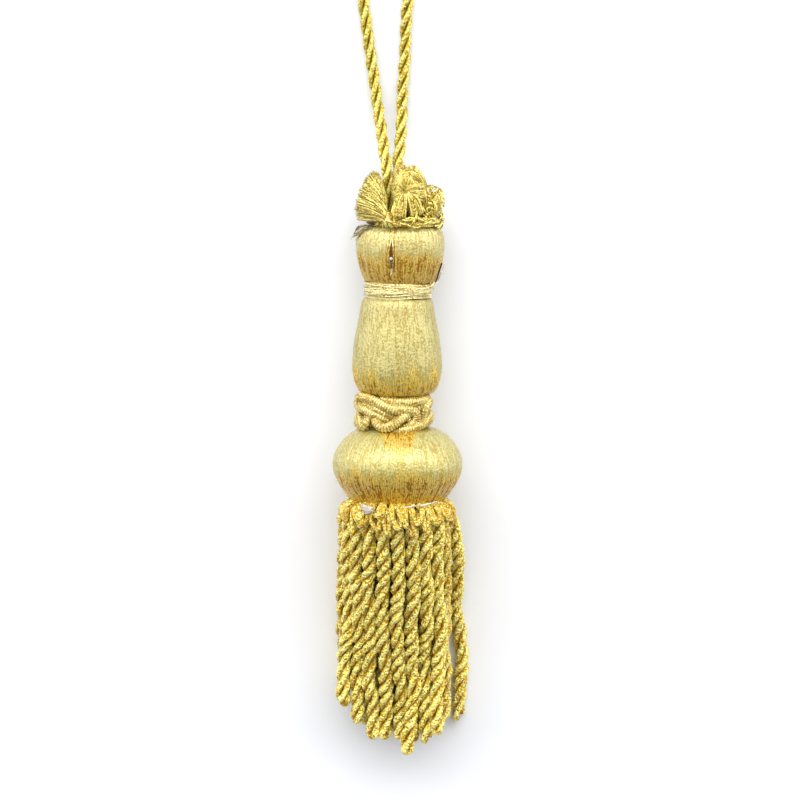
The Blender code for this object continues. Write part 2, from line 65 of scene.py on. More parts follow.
# --- Camera: above the tassel, a little on its loop's side ---
CAMERA_PITCH = math.radians(11)
CAMERA_DISTANCE = 0.9
CAMERA_SENSOR = 36.0
PICTURE_SIDE = 800         # pixels
PIXEL = 0.00026            # metres to a pixel, at the ball
BALL_ROW = 465             # the picture's row of the ball's middle
FLOOR_HALF = 4.0           # half the floor's side

# --- Wrapped moulds: knots of the outline, place along the axis and radius ---
BALL_OUTLINE = (
    (-0.0086, 0.0070), (-0.0094, 0.0088), (-0.0097, 0.0106), (-0.0092, 0.0121), (-0.0078, 0.0132),
    (-0.0052, 0.0150), (-0.0026, 0.0163), (0.0000, BALL_RADIUS), (0.0026, 0.0165), (0.0050, 0.0153),
    (0.0070, 0.0138), (0.0086, 0.0118), (0.0097, 0.0092), (0.0101, 0.0066),
)
PEAR_OUTLINE = (
    (0.0188, 0.0050), (0.0184, 0.0072), (0.0187, 0.0088), (0.0198, 0.0101), (0.0222, 0.01115),
    (0.0253, 0.0116), (0.0290, 0.01145), (0.0335, 0.0109), (0.0380, 0.0100), (0.0420, 0.0093),
    (0.0436, 0.0086), (0.0440, 0.0070),
)
BULB_OUTLINE = (
    (0.0474, 0.0066), (0.0473, 0.0082), (0.0480, 0.0091), (0.0496, 0.0099), (0.0525, 0.0108),
    (0.0552, 0.0113), (BULB_PLACE, BULB_RADIUS), (0.0599, 0.0111), (0.0614, 0.0101), (0.0622, 0.0087),
    (0.0622, 0.0066),
)
CROWN_OUTLINE = (
    (0.0622, 0.0060), (0.0626, 0.0082), (0.0640, 0.0080), (0.0650, 0.0062), (0.0655, 0.0036),
    (0.0656, 0.0012),
)
# Between two shares of its length, given after rim_lumps, a mould's threads lie so closely that hardly a line
# shows between them, and a painted sheen makes them paler there.
MOULD_COLUMNS = ("node", "outline", "across", "threads", "finish", "rim_lumps", "close_sheen_from", "close_sheen_to",
                 "parted")
MOULDS = (
    ("lower_ball", BALL_OUTLINE, 0.0, 178, "ball_thread", 0.0, 0.44, 0.76, 0.0001),
    ("pear_body", PEAR_OUTLINE, -0.0001, 140, "pear_thread", 0.00008, 0.26, 2.0, None),
    ("upper_bulb", BULB_OUTLINE, 0.0007, 134, "bulb_thread", 0.00055, 0.52, 2.0, None),
)
# At "parted", on the upper side, closely laid threads and painted sheen stop short: that wedge is painted
# shade by the collar.
PARTED_SHADE_HALF = 0.0068       # beside the place "parted" the threads lie closely, under the painted sheen, up to the mould's end
CLOSE_SHEEN_BLEND = 0.24         # the share of its length over which the closely laid threads and their painted sheen begin and end
CLOSE_SHEEN_DRIFT = 0.40         # how much sooner or later they do so in one bundle than in another
CLOSE_SHARE = 0.60         # of its lines that a mould loses there
THREAD_ARCH = (0.0, 0.6, 1.0, 1.0, 0.6)    # a thread's height at each column of its faces
MOULD_STEP = 0.0009        # between two rows
THREAD_RELIEF = 0.00012    # of one thread above its valleys
THREAD_UNEVEN = 0.00003    # how much one thread stands above another
THREAD_DARK = (0.15, 0.95)  # how dark the painted shade in the line beside a thread is
THREAD_WAVER = 0.00003     # how much a thread's height changes along it
WAVER_LENGTH = 0.0021      # about a sixth of the way from one wave to the next
BUNDLE = (1, 4)            # threads in a bundle, fewest and most
CREASE_DEPTH = 0.00022     # of the deepest crease between two bundles
CREASE_BIAS = 1.2          # more than 1 makes shallow creases commoner than deep ones
CREASE_WIDTH = 0.00015
CREASE_FADE = 0.4          # how late a crease runs out towards the ends: the smaller, the later
CREASE_DARK = 0.8          # how dark the painted shade in the deepest crease is
DRIFT = 0.9                # how far a thread strays sideways, in thread widths
RIM_PLACE = 0.93           # where the bundles stand out in lumps, and how far to each side of it
RIM_REACH = 0.07
# The parting in the bulb's threads: its place along, its half length, its angle, how wide it opens, how deep.
SLIT_ALONG = 0.0547
SLIT_HALF_LENGTH = 0.0045
SLIT_ANGLE = math.radians(-11.4)
SLIT_OPENING = 0.00060
SLIT_DEPTH = 0.0012
SLIT_PUSH = 0.0013         # how far beside it threads are pushed away
SLIT_HALF = (1.1, 3.2)     # half its width, and half that with the raised threads beside it, in half threads
SLIT_RAISE = 0.00018
ON_AXIS = 1e-5             # nearer to its axis than this a mould's middle stays as it is
SEAM = 1e-6                # points nearer to each other than this are one


def records(columns, rows):
    """A table's rows, each with its values by name."""
    return [dict(zip(columns, row)) for row in rows]


def angles_round(count):
    """The angles of so many places, evenly round a whole turn."""
    return 2 * math.pi * np.arange(count) / count


def shade_of(wave, valley):
    """How a place shows, from this in the wave's valleys, as painted shade, up to 1 on its crests."""
    return valley + (1 - valley) * wave


def in_head(points):
    """Places given across, along and up on the head, as world points."""
    turned = np.array(HEAD_MATRIX)[:3, :3]
    rows = np.asarray(points, float)
    return np.stack([rows[:, 0], -rows[:, 2], rows[:, 1]], axis=1) @ turned.T + np.array(HEAD_MATRIX)[:3, 3]


# --- Routes ---

def at(table, value):
    """A table's second column at this value of its first, with straight runs between the rows."""
    rows = sorted(table)
    return float(np.interp(value, [row[0] for row in rows], [row[1] for row in rows]))


def lengths_along(points):
    """The distance along a route to each of its points."""
    return np.concatenate([[0.0], np.cumsum(np.linalg.norm(np.diff(points, axis=0), axis=1))])


def smooth_route(knots, step, smoothing=24):
    """Points a step apart along a smooth curve through the knots."""
    knots = np.asarray(knots, float)
    padded = np.concatenate([[2 * knots[0] - knots[1]], knots, [2 * knots[-1] - knots[-2]]])
    t = (np.arange(smoothing) / smoothing)[:, None]
    fine = []
    for before, start, end, after in zip(padded, padded[1:], padded[2:], padded[3:]):
        bend = 2 * before - 5 * start + 4 * end - after
        swing = 3 * start - before - 3 * end + after
        fine.append((2 * start + (end - before) * t + bend * t ** 2 + swing * t ** 3) / 2)
    fine = np.concatenate([*fine, knots[-1:]])
    lengths = lengths_along(fine)
    count = max(2, round(lengths[-1] / step))
    places = np.linspace(0, lengths[-1], count + 1)
    return np.stack([np.interp(places, lengths, column) for column in fine.T], axis=1)


def unit(vectors):
    """Each row at length 1."""
    return vectors / np.maximum(np.linalg.norm(vectors, axis=1, keepdims=True), 1e-12)


def tangents_of(points, closed=False):
    """The direction of a route at each of its points."""
    if closed:
        return unit(np.roll(points, -1, axis=0) - np.roll(points, 1, axis=0))
    return unit(np.gradient(points, axis=0))


def frames_of(points):
    """Two directions across an open route at each point, carried along it without a twist."""
    tangents = tangents_of(points)
    start = np.cross(tangents[0], (0, 0, 1) if abs(tangents[0][2]) < 0.9 else (1, 0, 0))
    sides = [start / np.linalg.norm(start)]
    for tangent in tangents[1:]:
        side = sides[-1] - tangent * (tangent @ sides[-1])
        sides.append(side / np.linalg.norm(side))
    sides = np.array(sides)
    return sides, np.cross(tangents, sides)


def frames_outward(points, outward, closed=True):
    """Two directions across a route, the first one as near to outward as it can be."""
    tangents = tangents_of(points, closed)
    sides = unit(outward - tangents * (outward * tangents).sum(axis=1, keepdims=True))
    return sides, np.cross(tangents, sides)


# --- Thread meshes ---
TWISTED_SIDES = 12
YARN_VALLEY = 0.3          # how a place shows between two yarns: painted shade
CREST_WRAP = 0.30          # how far round to its back, as a cosine, a ply's painted crest highlight still shows a little
CREST_SPAN = 1.2           # and over how much of the cosine it grows to its full share
LAYER_SHADE = 0.35         # how much darker each layer of a sheet is than the one over it, as painted shade
SHEET_SHIFT = 0.35         # how far a thread lies from its even place in a sheet, in threads
SHEET_GIRTH = (0.85, 1.15)     # the spread of radii in a sheet
SHEET_SHOWN = (0.45, 1.0)  # and of how brightly its threads show
SHEET_STEP = 0.0008
FINE_SIDES = 6             # of a fine thread


def thread_bmesh():
    """An empty bmesh with the two attributes that the thread finishes read."""
    bm = bmesh.new()
    place = bm.verts.layers.float_vector.new("place")
    shade_and_sheen = bm.verts.layers.float.new("shade_and_sheen")
    return bm, place, shade_and_sheen


def roll_grid(mesh, surface, unrolled, shades_and_sheens, closed=False):
    """Roll a grid up into a tube of these rings of points; closed joins the last ring to the first."""
    bm, place, shade_and_sheen = mesh
    rows, sides = surface.shape[:2]
    order = np.arange(rows + 1) % rows if closed else np.arange(rows)
    surface, shown, unrolled = surface[order].tolist(), shades_and_sheens[order].tolist(), unrolled.tolist()
    last = len(order) - 1
    made = bmesh.ops.create_grid(bm, x_segments=sides, y_segments=last, size=0.5)
    for vert in made["verts"]:
        column = round((vert.co.x + 0.5) * sides) % sides
        row = round((vert.co.y + 0.5) * last)
        vert[place] = unrolled[row][column]
        vert[shade_and_sheen] = shown[row][column]
        vert.co = surface[row][column]


def roll_tube(mesh, points, frames, radii, shades_and_sheens=None, closed=False, start=0.0):
    """A tube along a route: a radius for each ring and side."""
    rows, sides = radii.shape
    angles = angles_round(sides)
    turn_x, turn_y = np.cos(angles)[None, :, None], np.sin(angles)[None, :, None]
    spokes = turn_x * frames[0][:, None, :] + turn_y * frames[1][:, None, :]
    girth = float(np.median(radii))
    order = np.arange(rows + 1) % rows if closed else np.arange(rows)
    along = start + lengths_along(points[order])
    unrolled = np.stack(np.broadcast_arrays(girth * np.cos(angles)[None], girth * np.sin(angles)[None],
                                            along[:, None]), axis=2)
    shown = np.ones_like(radii) if shades_and_sheens is None else shades_and_sheens
    roll_grid(mesh, points[:, None, :] + radii[..., None] * spokes, unrolled, shown, closed)


def rounded_ends(points, radius):
    """The share of its full radius that a tube has at each ring, so that it closes in two round ends."""
    lengths = lengths_along(points)
    near = np.minimum(lengths, lengths[-1] - lengths) / radius
    return np.sqrt(np.clip(1 - (1 - np.clip(near, 0, 1)) ** 2, 0, 1))


def plain_thread(mesh, points, radius, sides, start=0.0, shown=1.0):
    """One round thread with closed ends."""
    radii = radius * rounded_ends(points, radius)[:, None] * np.ones((1, sides))
    roll_tube(mesh, points, frames_of(points), radii, shown * np.ones_like(radii), start=start)


def twisted_thread(mesh, points, radius, yarns, lay, relief):
    """One thread with closed ends and the yarns that twist along it, with painted shade between them."""
    along = lengths_along(points)[:, None]
    wave = 0.5 + 0.5 * np.cos(yarns * (angles_round(TWISTED_SIDES)[None] + 2 * math.pi * along / lay))
    radii = (radius - relief * (1 - wave)) * rounded_ends(points, radius)[:, None]
    roll_tube(mesh, points, frames_of(points), radii, shade_of(wave, YARN_VALLEY))


def crest_share(frames, outward, sides):
    """How near to a ply's outward side each place round it lies, 0 to 1, for its painted shade and highlight.
    """
    angles = angles_round(sides)[None]
    facing = ((outward * frames[0]).sum(axis=1)[:, None] * np.cos(angles)
              + (outward * frames[1]).sum(axis=1)[:, None] * np.sin(angles))
    return np.clip((facing + CREST_WRAP) / CREST_SPAN, 0, 1)


def lay_sheet(mesh, sheet, rng):
    """Threads side by side between guides, each guide a few places on the head in millimetres, in layers,
    each darker with painted shade.
    """
    guides = np.array(sheet["guides"], float) * MM
    for layer in range(sheet["layers"]):
        for number in range(sheet["threads"]):
            shift = rng.uniform(-SHEET_SHIFT, SHEET_SHIFT)
            share = (number + 0.5 + shift) / sheet["threads"] * (len(guides) - 1)
            first = min(int(share), len(guides) - 2)
            knots = guides[first] + (guides[first + 1] - guides[first]) * (share - first)
            knots = knots + rng.normal(0, sheet["jitter"] * MM, knots.shape)
            knots[:, 2] -= layer * sheet["depth"] * MM
            knots[-1] += (knots[-1] - knots[-2]) * rng.uniform(-sheet["trim"], sheet["trim"])
            radius = sheet["radius"] * MM * rng.uniform(*SHEET_GIRTH)
            shown = rng.uniform(*SHEET_SHOWN) * (1 - LAYER_SHADE * layer)
            points = in_head(smooth_route(knots, SHEET_STEP))
            plain_thread(mesh, points, radius, FINE_SIDES, rng.uniform(0, 1), shown)


def put_in_scene(name, data):
    """An object of this data, linked to the scene."""
    thing = bpy.data.objects.new(name, data)
    bpy.context.scene.collection.objects.link(thing)
    return thing


def finish_piece(name, mesh, finish, nodes=(), matrix=None):
    """Close the seams, keep the thread on the floor, and hand the piece over with its finish."""
    bm = mesh[0]
    if matrix is not None:
        bmesh.ops.transform(bm, matrix=matrix, verts=bm.verts)
    bmesh.ops.remove_doubles(bm, verts=bm.verts, dist=SEAM)
    for vert in bm.verts:
        vert.co.z = max(vert.co.z, FLOOR_GAP)
    bmesh.ops.recalc_face_normals(bm, faces=bm.faces)
    data = bpy.data.meshes.new(name)
    bm.to_mesh(data)
    bm.free()
    data.shade_smooth()
    data.materials.append(finishes[finish])
    piece = put_in_scene(name, data)
    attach(piece, "root")
    if nodes:
        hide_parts(*nodes)
    return piece


# --- Finishes ---
# Colours are linear. Streaks, grain, bump and cells are sizes in metres. A finish with cells has no streaks
# and shows crimped thread: rings, some with painted shade in a gap in the middle. The deep colour is also
# painted shade in the valleys. The last two colours are a painted sheen on closely laid thread, where the
# shade attribute is over 1.
FINISH_COLUMNS = ("name", "deep", "body", "pale", "metallic", "roughness", "coat", "coat_roughness",
                  "streak_width", "streak_length", "grain", "bump", "cells", "painted_sheen_deep", "painted_sheen_pale")
FINISH_ROWS = (
    ("ball_thread", (0.27, 0.12, 0.002), (0.69, 0.425, 0.031), (0.72, 0.545, 0.120), 0.36, 0.32, 0.4, 0.22,
     0.00056, 0.0042, 0.00060, 0.00036, 0.0, (0.34, 0.250, 0.036), (0.51, 0.460, 0.162)),
    ("pear_thread", (0.30, 0.15, 0.004), (0.80, 0.52, 0.040), (0.64, 0.52, 0.130), 0.36, 0.34, 0.35, 0.25,
     0.00056, 0.0050, 0.00060, 0.00036, 0.0, (0.28, 0.210, 0.036), (0.475, 0.415, 0.148)),
    ("bulb_thread", (0.29, 0.13, 0.003), (0.61, 0.385, 0.032), (0.68, 0.52, 0.140), 0.36, 0.32, 0.4, 0.22,
     0.00056, 0.0040, 0.00060, 0.00036, 0.0, (0.34, 0.250, 0.046), (0.535, 0.475, 0.178)),
    ("neck_thread", (0.30, 0.18, 0.02), (0.64, 0.52, 0.17), (0.92, 0.85, 0.42), 0.42, 0.35, 0.9, 0.22,
     0.00036, 0.005, 0.00040, 0.00012, 0.0, None, None),
    ("fan_thread", (0.20, 0.11, 0.002), (0.58, 0.47, 0.055), (0.92, 0.86, 0.24), 0.42, 0.38, 0.4, 0.25,
     0.00044, 0.004, 0.00046, 0.00010, 0.0, None, None),
    ("ruff_thread", (0.24, 0.12, 0.002), (0.74, 0.58, 0.065), (1.00, 0.94, 0.28), 0.40, 0.38, 0.4, 0.25,
     0.00044, 0.004, 0.00046, 0.00012, 0.0, None, None),
    # A near-black thread as painted shade: the crown, the heading, and the dark threads by the loose end and
    # in the slit.
    ("shaded_thread", (0.03, 0.012, 0.002), (0.10, 0.05, 0.006), (0.20, 0.12, 0.015), 0.60, 0.45, 0.2, 0.30,
     0.00040, 0.004, 0.00030, 0.00005, 0.0, None, None),
    ("tuft_thread", (0.12, 0.08, 0.030), (0.36, 0.28, 0.130), (0.62, 0.53, 0.300), 0.30, 0.45, 0.2, 0.30,
     0.00040, 0.003, 0.00040, 0.00005, 0.0, None, None),
    ("gimp", (0.34, 0.20, 0.015), (0.64, 0.52, 0.125), (0.88, 0.81, 0.34), 0.38, 0.42, 0.5, 0.25,
     0.00070, 0.003, 0.00050, 0.00006, 0.0, None, None),
    ("bullion", (0.46, 0.235, 0.0005), (1.00, 0.735, 0.030), (1.00, 0.930, 0.31), 0.30, 0.34, 0.06, 0.25,
     None, None, 0.00044, 0.00050, 0.00062, None, None),
    ("loop_thread", (0.42, 0.26, 0.004), (0.68, 0.56, 0.060), (0.86, 0.84, 0.24), 0.32, 0.36, 0.10, 0.25,
     None, None, 0.00050, 0.00032, 0.00074, None, None),
    ("pale_cotton", (0.34, 0.29, 0.24), (0.60, 0.55, 0.48), (0.74, 0.70, 0.64), 0.0, 0.75, 0.0, 0.30,
     0.00030, 0.003, 0.00030, 0.00004, 0.0, None, None),
)
STREAK_DETAIL = 1.0
GRAIN_DETAIL = 1.5
COAT_IOR = 1.75
SHEEN_LEVEL = 0.25
ROUGHNESS_SPREAD = 0.10    # how much smoother than its finish the bright grain is, and rougher the dark
ROUGHNESS_GRAIN = (0.3, 0.7)    # the grain at which it is dark, and bright
# A thread's tone is the sum of its parts in these shares: streaks and grain, or grain and rings if crimped.
PLAIN_SHARES = (0.45, 0.55)
CRIMPED_SHARES = (0.45, 0.62)
CRIMPED_GRAIN_HEIGHT = 0.4     # of crimped thread's grain against its rings
FLAKE_SHARE = 0.34         # how much one crimp of thread may be paler than the next
# A crimp's tone falls between the first two shares of a cell's size, from the third value to the fourth.
RING = (0.38, 0.72, 0.62, 0.12)
# Painted shade in a gap in the middle of some crimps: how far it reaches, which cells have it and how much,
# its colour.
HOLE = (0.30, 0.42, 1.0, 0.0)
HOLE_CHOSEN = (0.685, 0.73, 0.0, 0.90)
HOLE_SHADE = (0.06, 0.026, 0.003)
# Places on the colour ramps, and how far up them the painted sheen moves closely laid thread and ply crests.
PLAIN_RAMP = (0.43, 0.485, 0.555)
CRIMPED_RAMP = (0.485, 0.555, 0.672)
PAINTED_SHEEN_RAMP = (0.732, 0.803)
PAINTED_SHEEN_LIFT = 0.60          # how fast the painted sheen raises the tone, as the threads lie closer or on a ply's crest
PAINTED_SHEEN_MOST = 0.30          # and how far at most
FLOOR_TONES = ((0.798, 0.812, 0.848), (0.818, 0.832, 0.868))
FLOOR_MOTTLE = 6.0
FLOOR_ROUGHNESS = 0.9
FLOOR_SHEEN = 0.1


def link_nodes(tree, source, output, target, socket):
    """Join one node's output to another's input."""
    tree.links.new(source.outputs[output], target.inputs[socket])


def math_node(tree, operation, first, second):
    """A Math node of two inputs, each a number or a node."""
    node = tree.nodes.new("ShaderNodeMath")
    node.operation = operation
    node.use_clamp = True
    for socket, value in zip(node.inputs, (first, second)):
        if isinstance(value, bpy.types.Node):
            tree.links.new(value.outputs[0], socket)
        else:
            socket.default_value = value
    return node


def range_node(tree, source, output, low, high, to_low, to_high):
    """A Map Range node that takes low..high to to_low..to_high."""
    node = tree.nodes.new("ShaderNodeMapRange")
    node.inputs["From Min"].default_value = low
    node.inputs["From Max"].default_value = high
    node.inputs["To Min"].default_value = to_low
    node.inputs["To Max"].default_value = to_high
    link_nodes(tree, source, output, node, "Value")
    return node


def noise_node(tree, source, output, scale, detail):
    """A Noise node on a place."""
    node = tree.nodes.new("ShaderNodeTexNoise")
    node.inputs["Scale"].default_value = scale
    node.inputs["Detail"].default_value = detail
    link_nodes(tree, source, output, node, "Vector")
    return node


def mix_node(tree, share, first, second):
    """The mixed colour of a Mix node: each colour is a value or another node's socket."""
    node = tree.nodes.new("ShaderNodeMix")
    node.data_type = "RGBA"
    tree.links.new(share, node.inputs[0])
    for socket, colour in ((node.inputs[6], first), (node.inputs[7], second)):
        if isinstance(colour, bpy.types.NodeSocket):
            tree.links.new(colour, socket)
        else:
            socket.default_value = (*colour, 1)
    return node.outputs[2]


def attribute_node(tree, name):
    """A node that reads one of the attributes of a thread's surface."""
    node = tree.nodes.new("ShaderNodeAttribute")
    node.attribute_name = name
    return node


def shares_of(tree, first, second, shares):
    """Two tones added up, each by its share."""
    return math_node(tree, "ADD", math_node(tree, "MULTIPLY", first, shares[0]),
                     math_node(tree, "MULTIPLY", second, shares[1]))


def plain_tone(tree, place, grain, row):
    """The tone of plain thread, which is its height too: streaks along it, and its grain."""
    stretch = tree.nodes.new("ShaderNodeMapping")
    width, length = row["streak_width"], row["streak_length"]
    stretch.inputs["Scale"].default_value = (1 / width, 1 / width, 1 / length)
    link_nodes(tree, place, "Vector", stretch, "Vector")
    streaks = noise_node(tree, stretch, "Vector", 1.0, STREAK_DETAIL)
    return shares_of(tree, streaks, grain, PLAIN_SHARES)


def crimped_tone(tree, cells, grain):
    """The tone and the height of crimped thread: a ring to each cell, one paler than the next."""
    ring = range_node(tree, cells, "Distance", *RING)
    flake = range_node(tree, cells, "Color", 0.0, 1.0, 0.0, FLAKE_SHARE)
    tone = math_node(tree, "ADD", shares_of(tree, grain, ring, CRIMPED_SHARES), flake)
    return tone, math_node(tree, "ADD", ring, math_node(tree, "MULTIPLY", grain, CRIMPED_GRAIN_HEIGHT))


def tone_colours(tree, tone, shade_and_sheen, row):
    """Colour by tone, deep as painted shade in the valleys; painted sheen moves closely laid thread to its
    own colours.
    """
    over = tree.nodes.new("ShaderNodeMath")
    over.operation = "SUBTRACT"
    over.use_clamp = True
    over.inputs[1].default_value = 1.0
    link_nodes(tree, shade_and_sheen, "Fac", over, 0)
    lifted = math_node(tree, "MULTIPLY", over, PAINTED_SHEEN_LIFT)
    tone = math_node(tree, "ADD", tone, math_node(tree, "MINIMUM", lifted, PAINTED_SHEEN_MOST))
    ramp = tree.nodes.new("ShaderNodeValToRGB")
    low, middle, high = CRIMPED_RAMP if row["cells"] else PLAIN_RAMP
    ramp.color_ramp.elements[0].position = low
    ramp.color_ramp.elements[0].color = (*row["deep"], 1)
    ramp.color_ramp.elements[1].position = high
    ramp.color_ramp.elements[1].color = (*row["pale"], 1)
    ramp.color_ramp.elements.new(middle).color = (*row["body"], 1)
    if row["painted_sheen_pale"]:
        for position, colour in zip(PAINTED_SHEEN_RAMP, (row["painted_sheen_deep"], row["painted_sheen_pale"])):
            ramp.color_ramp.elements.new(position).color = (*colour, 1)
    link_nodes(tree, tone, 0, ramp, "Fac")
    return mix_node(tree, shade_and_sheen.outputs["Fac"], row["deep"], ramp.outputs["Color"])


def with_holes(tree, cells, colour):
    """The colour of crimped thread with painted shade in a gap in the middle of some of its cells."""
    hole = range_node(tree, cells, "Distance", *HOLE)
    chosen = range_node(tree, cells, "Color", *HOLE_CHOSEN)
    dots = math_node(tree, "MULTIPLY", hole, chosen)
    return mix_node(tree, dots.outputs[0], colour, HOLE_SHADE)


def thread_finish(row):
    """Metallic thread: deep colour as painted shade in the valleys, streaks or crimps along it, and a
    glittering grain.
    """
    material = bpy.data.materials.new(row["name"])
    material.use_nodes = True
    tree = material.node_tree
    shader = tree.nodes["Principled BSDF"]
    shader.inputs["Metallic"].default_value = row["metallic"]
    shader.inputs["Coat Weight"].default_value = row["coat"]
    shader.inputs["Specular IOR Level"].default_value = SHEEN_LEVEL
    shader.inputs["Coat IOR"].default_value = COAT_IOR
    shader.inputs["Coat Roughness"].default_value = row["coat_roughness"]
    place = attribute_node(tree, "place")
    shade_and_sheen = attribute_node(tree, "shade_and_sheen")
    grain = noise_node(tree, place, "Vector", 1 / row["grain"], GRAIN_DETAIL)
    if row["cells"]:
        cells = tree.nodes.new("ShaderNodeTexVoronoi")
        cells.inputs["Scale"].default_value = 1 / row["cells"]
        link_nodes(tree, place, "Vector", cells, "Vector")
        tone, height = crimped_tone(tree, cells, grain)
        colour = with_holes(tree, cells, tone_colours(tree, tone, shade_and_sheen, row))
    else:
        tone = height = plain_tone(tree, place, grain, row)
        colour = tone_colours(tree, tone, shade_and_sheen, row)
    tree.links.new(colour, shader.inputs["Base Color"])
    rough = range_node(tree, grain, "Fac", *ROUGHNESS_GRAIN, row["roughness"] + ROUGHNESS_SPREAD,
                       row["roughness"] - ROUGHNESS_SPREAD)
    link_nodes(tree, rough, "Result", shader, "Roughness")
    bump = tree.nodes.new("ShaderNodeBump")
    bump.inputs["Strength"].default_value = 1.0
    bump.inputs["Distance"].default_value = row["bump"]
    link_nodes(tree, height, 0, bump, "Height")
    link_nodes(tree, bump, "Normal", shader, "Normal")
    return material


def floor_finish():
    """Plain, pale and matt, with the least unevenness of painted board."""
    material = bpy.data.materials.new("pale_floor")
    material.use_nodes = True
    tree = material.node_tree
    shader = tree.nodes["Principled BSDF"]
    shader.inputs["Roughness"].default_value = FLOOR_ROUGHNESS
    shader.inputs["Specular IOR Level"].default_value = FLOOR_SHEEN
    place = tree.nodes.new("ShaderNodeTexCoord")
    mottle = tree.nodes.new("ShaderNodeTexNoise")
    mottle.inputs["Scale"].default_value = FLOOR_MOTTLE
    link_nodes(tree, place, "Object", mottle, "Vector")
    ramp = tree.nodes.new("ShaderNodeValToRGB")
    for element, tone in zip(ramp.color_ramp.elements, FLOOR_TONES):
        element.color = (*tone, 1)
    link_nodes(tree, mottle, "Fac", ramp, "Fac")
    link_nodes(tree, ramp, "Color", shader, "Base Color")
    return material


finishes = {row["name"]: thread_finish(row) for row in records(FINISH_COLUMNS, FINISH_ROWS)}


# --- Camera, floor and light ---

def make_camera():
    """Over the tassel, tipped a little towards its loop."""
    data = bpy.data.cameras.new("camera")
    data.sensor_width = CAMERA_SENSOR
    data.lens = CAMERA_SENSOR * CAMERA_DISTANCE / (PICTURE_SIDE * PIXEL)
    data.clip_start = 0.01
    camera = put_in_scene("camera", data)
    look = Vector((0, -math.sin(CAMERA_PITCH), -math.cos(CAMERA_PITCH)))
    picture_up = Vector((0, math.cos(CAMERA_PITCH), -math.sin(CAMERA_PITCH)))
    ball = Vector((BALL_X, BALL_Y, BALL_HEIGHT))
    above_ball = (BALL_ROW - PICTURE_SIDE / 2) * PIXEL
    place = ball - CAMERA_DISTANCE * look + above_ball * picture_up
    place.x = 0
    camera.matrix_world = Matrix.Translation(place) @ Matrix.Rotation(-CAMERA_PITCH, 4, "X")
    bpy.context.scene.camera = camera


def make_floor():
    """A wide pale floor."""
    bm = bmesh.new()
    bmesh.ops.create_grid(bm, x_segments=1, y_segments=1, size=FLOOR_HALF)
    data = bpy.data.meshes.new("floor")
    bm.to_mesh(data)
    bm.free()
    data.materials.append(floor_finish())
    floor = put_in_scene("floor", data)


LIGHT_COLUMNS = ("name", "place", "wide", "high", "power")
LIGHTS = (
    ("overhead", (-0.05, 0.45, 0.88), 2.0, 1.1, 8.0),
    ("low_end", (0.00, 0.98, 0.70), 2.0, 0.7, 17.0),
    ("left_side", (-1.25, 0.50, 0.46), 1.25, 0.85, 9.0),
    ("right_side", (1.25, 0.50, 0.46), 1.25, 0.85, 9.0),
)
WORLD_STRENGTH = 0.38


def make_lights():
    """Wide soft panels overhead, beyond the loop and at both sides, and a dim pale surround."""
    for light in records(LIGHT_COLUMNS, LIGHTS):
        data = bpy.data.lights.new(light["name"], "AREA")
        data.shape = "RECTANGLE"
        data.size = light["wide"]
        data.size_y = light["high"]
        data.energy = light["power"]
        lamp = put_in_scene(light["name"], data)
        lamp.location = light["place"]
        lamp.rotation_euler = Vector(light["place"]).to_track_quat("Z", "Y").to_euler()
    world = bpy.data.worlds.new("surround")
    world.use_nodes = True
    background = world.node_tree.nodes["Background"]
    background.inputs["Color"].default_value = (1, 1, 1, 1)
    background.inputs["Strength"].default_value = WORLD_STRENGTH
    bpy.context.scene.world = world
    bpy.context.scene.view_settings.view_transform = "Standard"


# --- Hanging loop ---
LOOP_STEP = 0.00045
LOOP_LAY = 0.0144          # along the cord, in which a ply goes round once
LOOP_PLIES = 3
LOOP_ORBIT = 0.00091       # from the cord's middle to a ply's
LOOP_PLY = 0.00069         # radius of a ply
LOOP_SIDES = 14
LOOP_YARNS = 7             # round one ply
LOOP_YARN_LAY = 0.0042
LOOP_RELIEF = 0.00009
LOOP_YARN_VALLEY = 0.60    # painted shade: how a place shows between two yarns, and in the groove between two plies
LOOP_GROOVE_SHADE = 0.18
LOOP_GROOVE_CURVE = 0.7    # the smaller, the narrower the groove's painted shade
LOOP_PLY_START = 0.3       # how far the thread's grain is moved from one ply to the next
LOOP_ROUTE = (
    (-0.0022, 0.0650, 0.0128), (-0.0030, 0.0705, 0.0132), (-0.0033, 0.0766, 0.0116),
    (-0.0040, 0.0806, 0.0093), (-0.0047, 0.0858, 0.0062), (-0.0056, 0.0909, 0.0038),
    (-0.0064, 0.0966, 0.0022), (-0.0078, 0.1065, 0.00165), (-0.0096, 0.1202, 0.00165),
    (-0.0110, 0.1330, 0.00165), (-0.0116, 0.1430, 0.00165), (-0.0106, 0.1525, 0.00165),
    (-0.0070, 0.1590, 0.00165), (-0.0018, 0.1612, 0.00165), (0.0032, 0.1588, 0.00165),
    (0.0062, 0.1518, 0.00165), (0.0066, 0.1430, 0.00165), (0.0046, 0.1330, 0.00165),
    (0.0021, 0.1202, 0.00165), (0.0012, 0.1036, 0.00165), (0.0007, 0.0966, 0.0021),
    (0.0005, 0.0909, 0.0032), (0.0003, 0.0858, 0.0052), (-0.0002, 0.0806, 0.0075),
    (-0.0005, 0.0766, 0.0092), (0.0002, 0.0705, 0.0106), (0.0008, 0.0650, 0.0109),
)


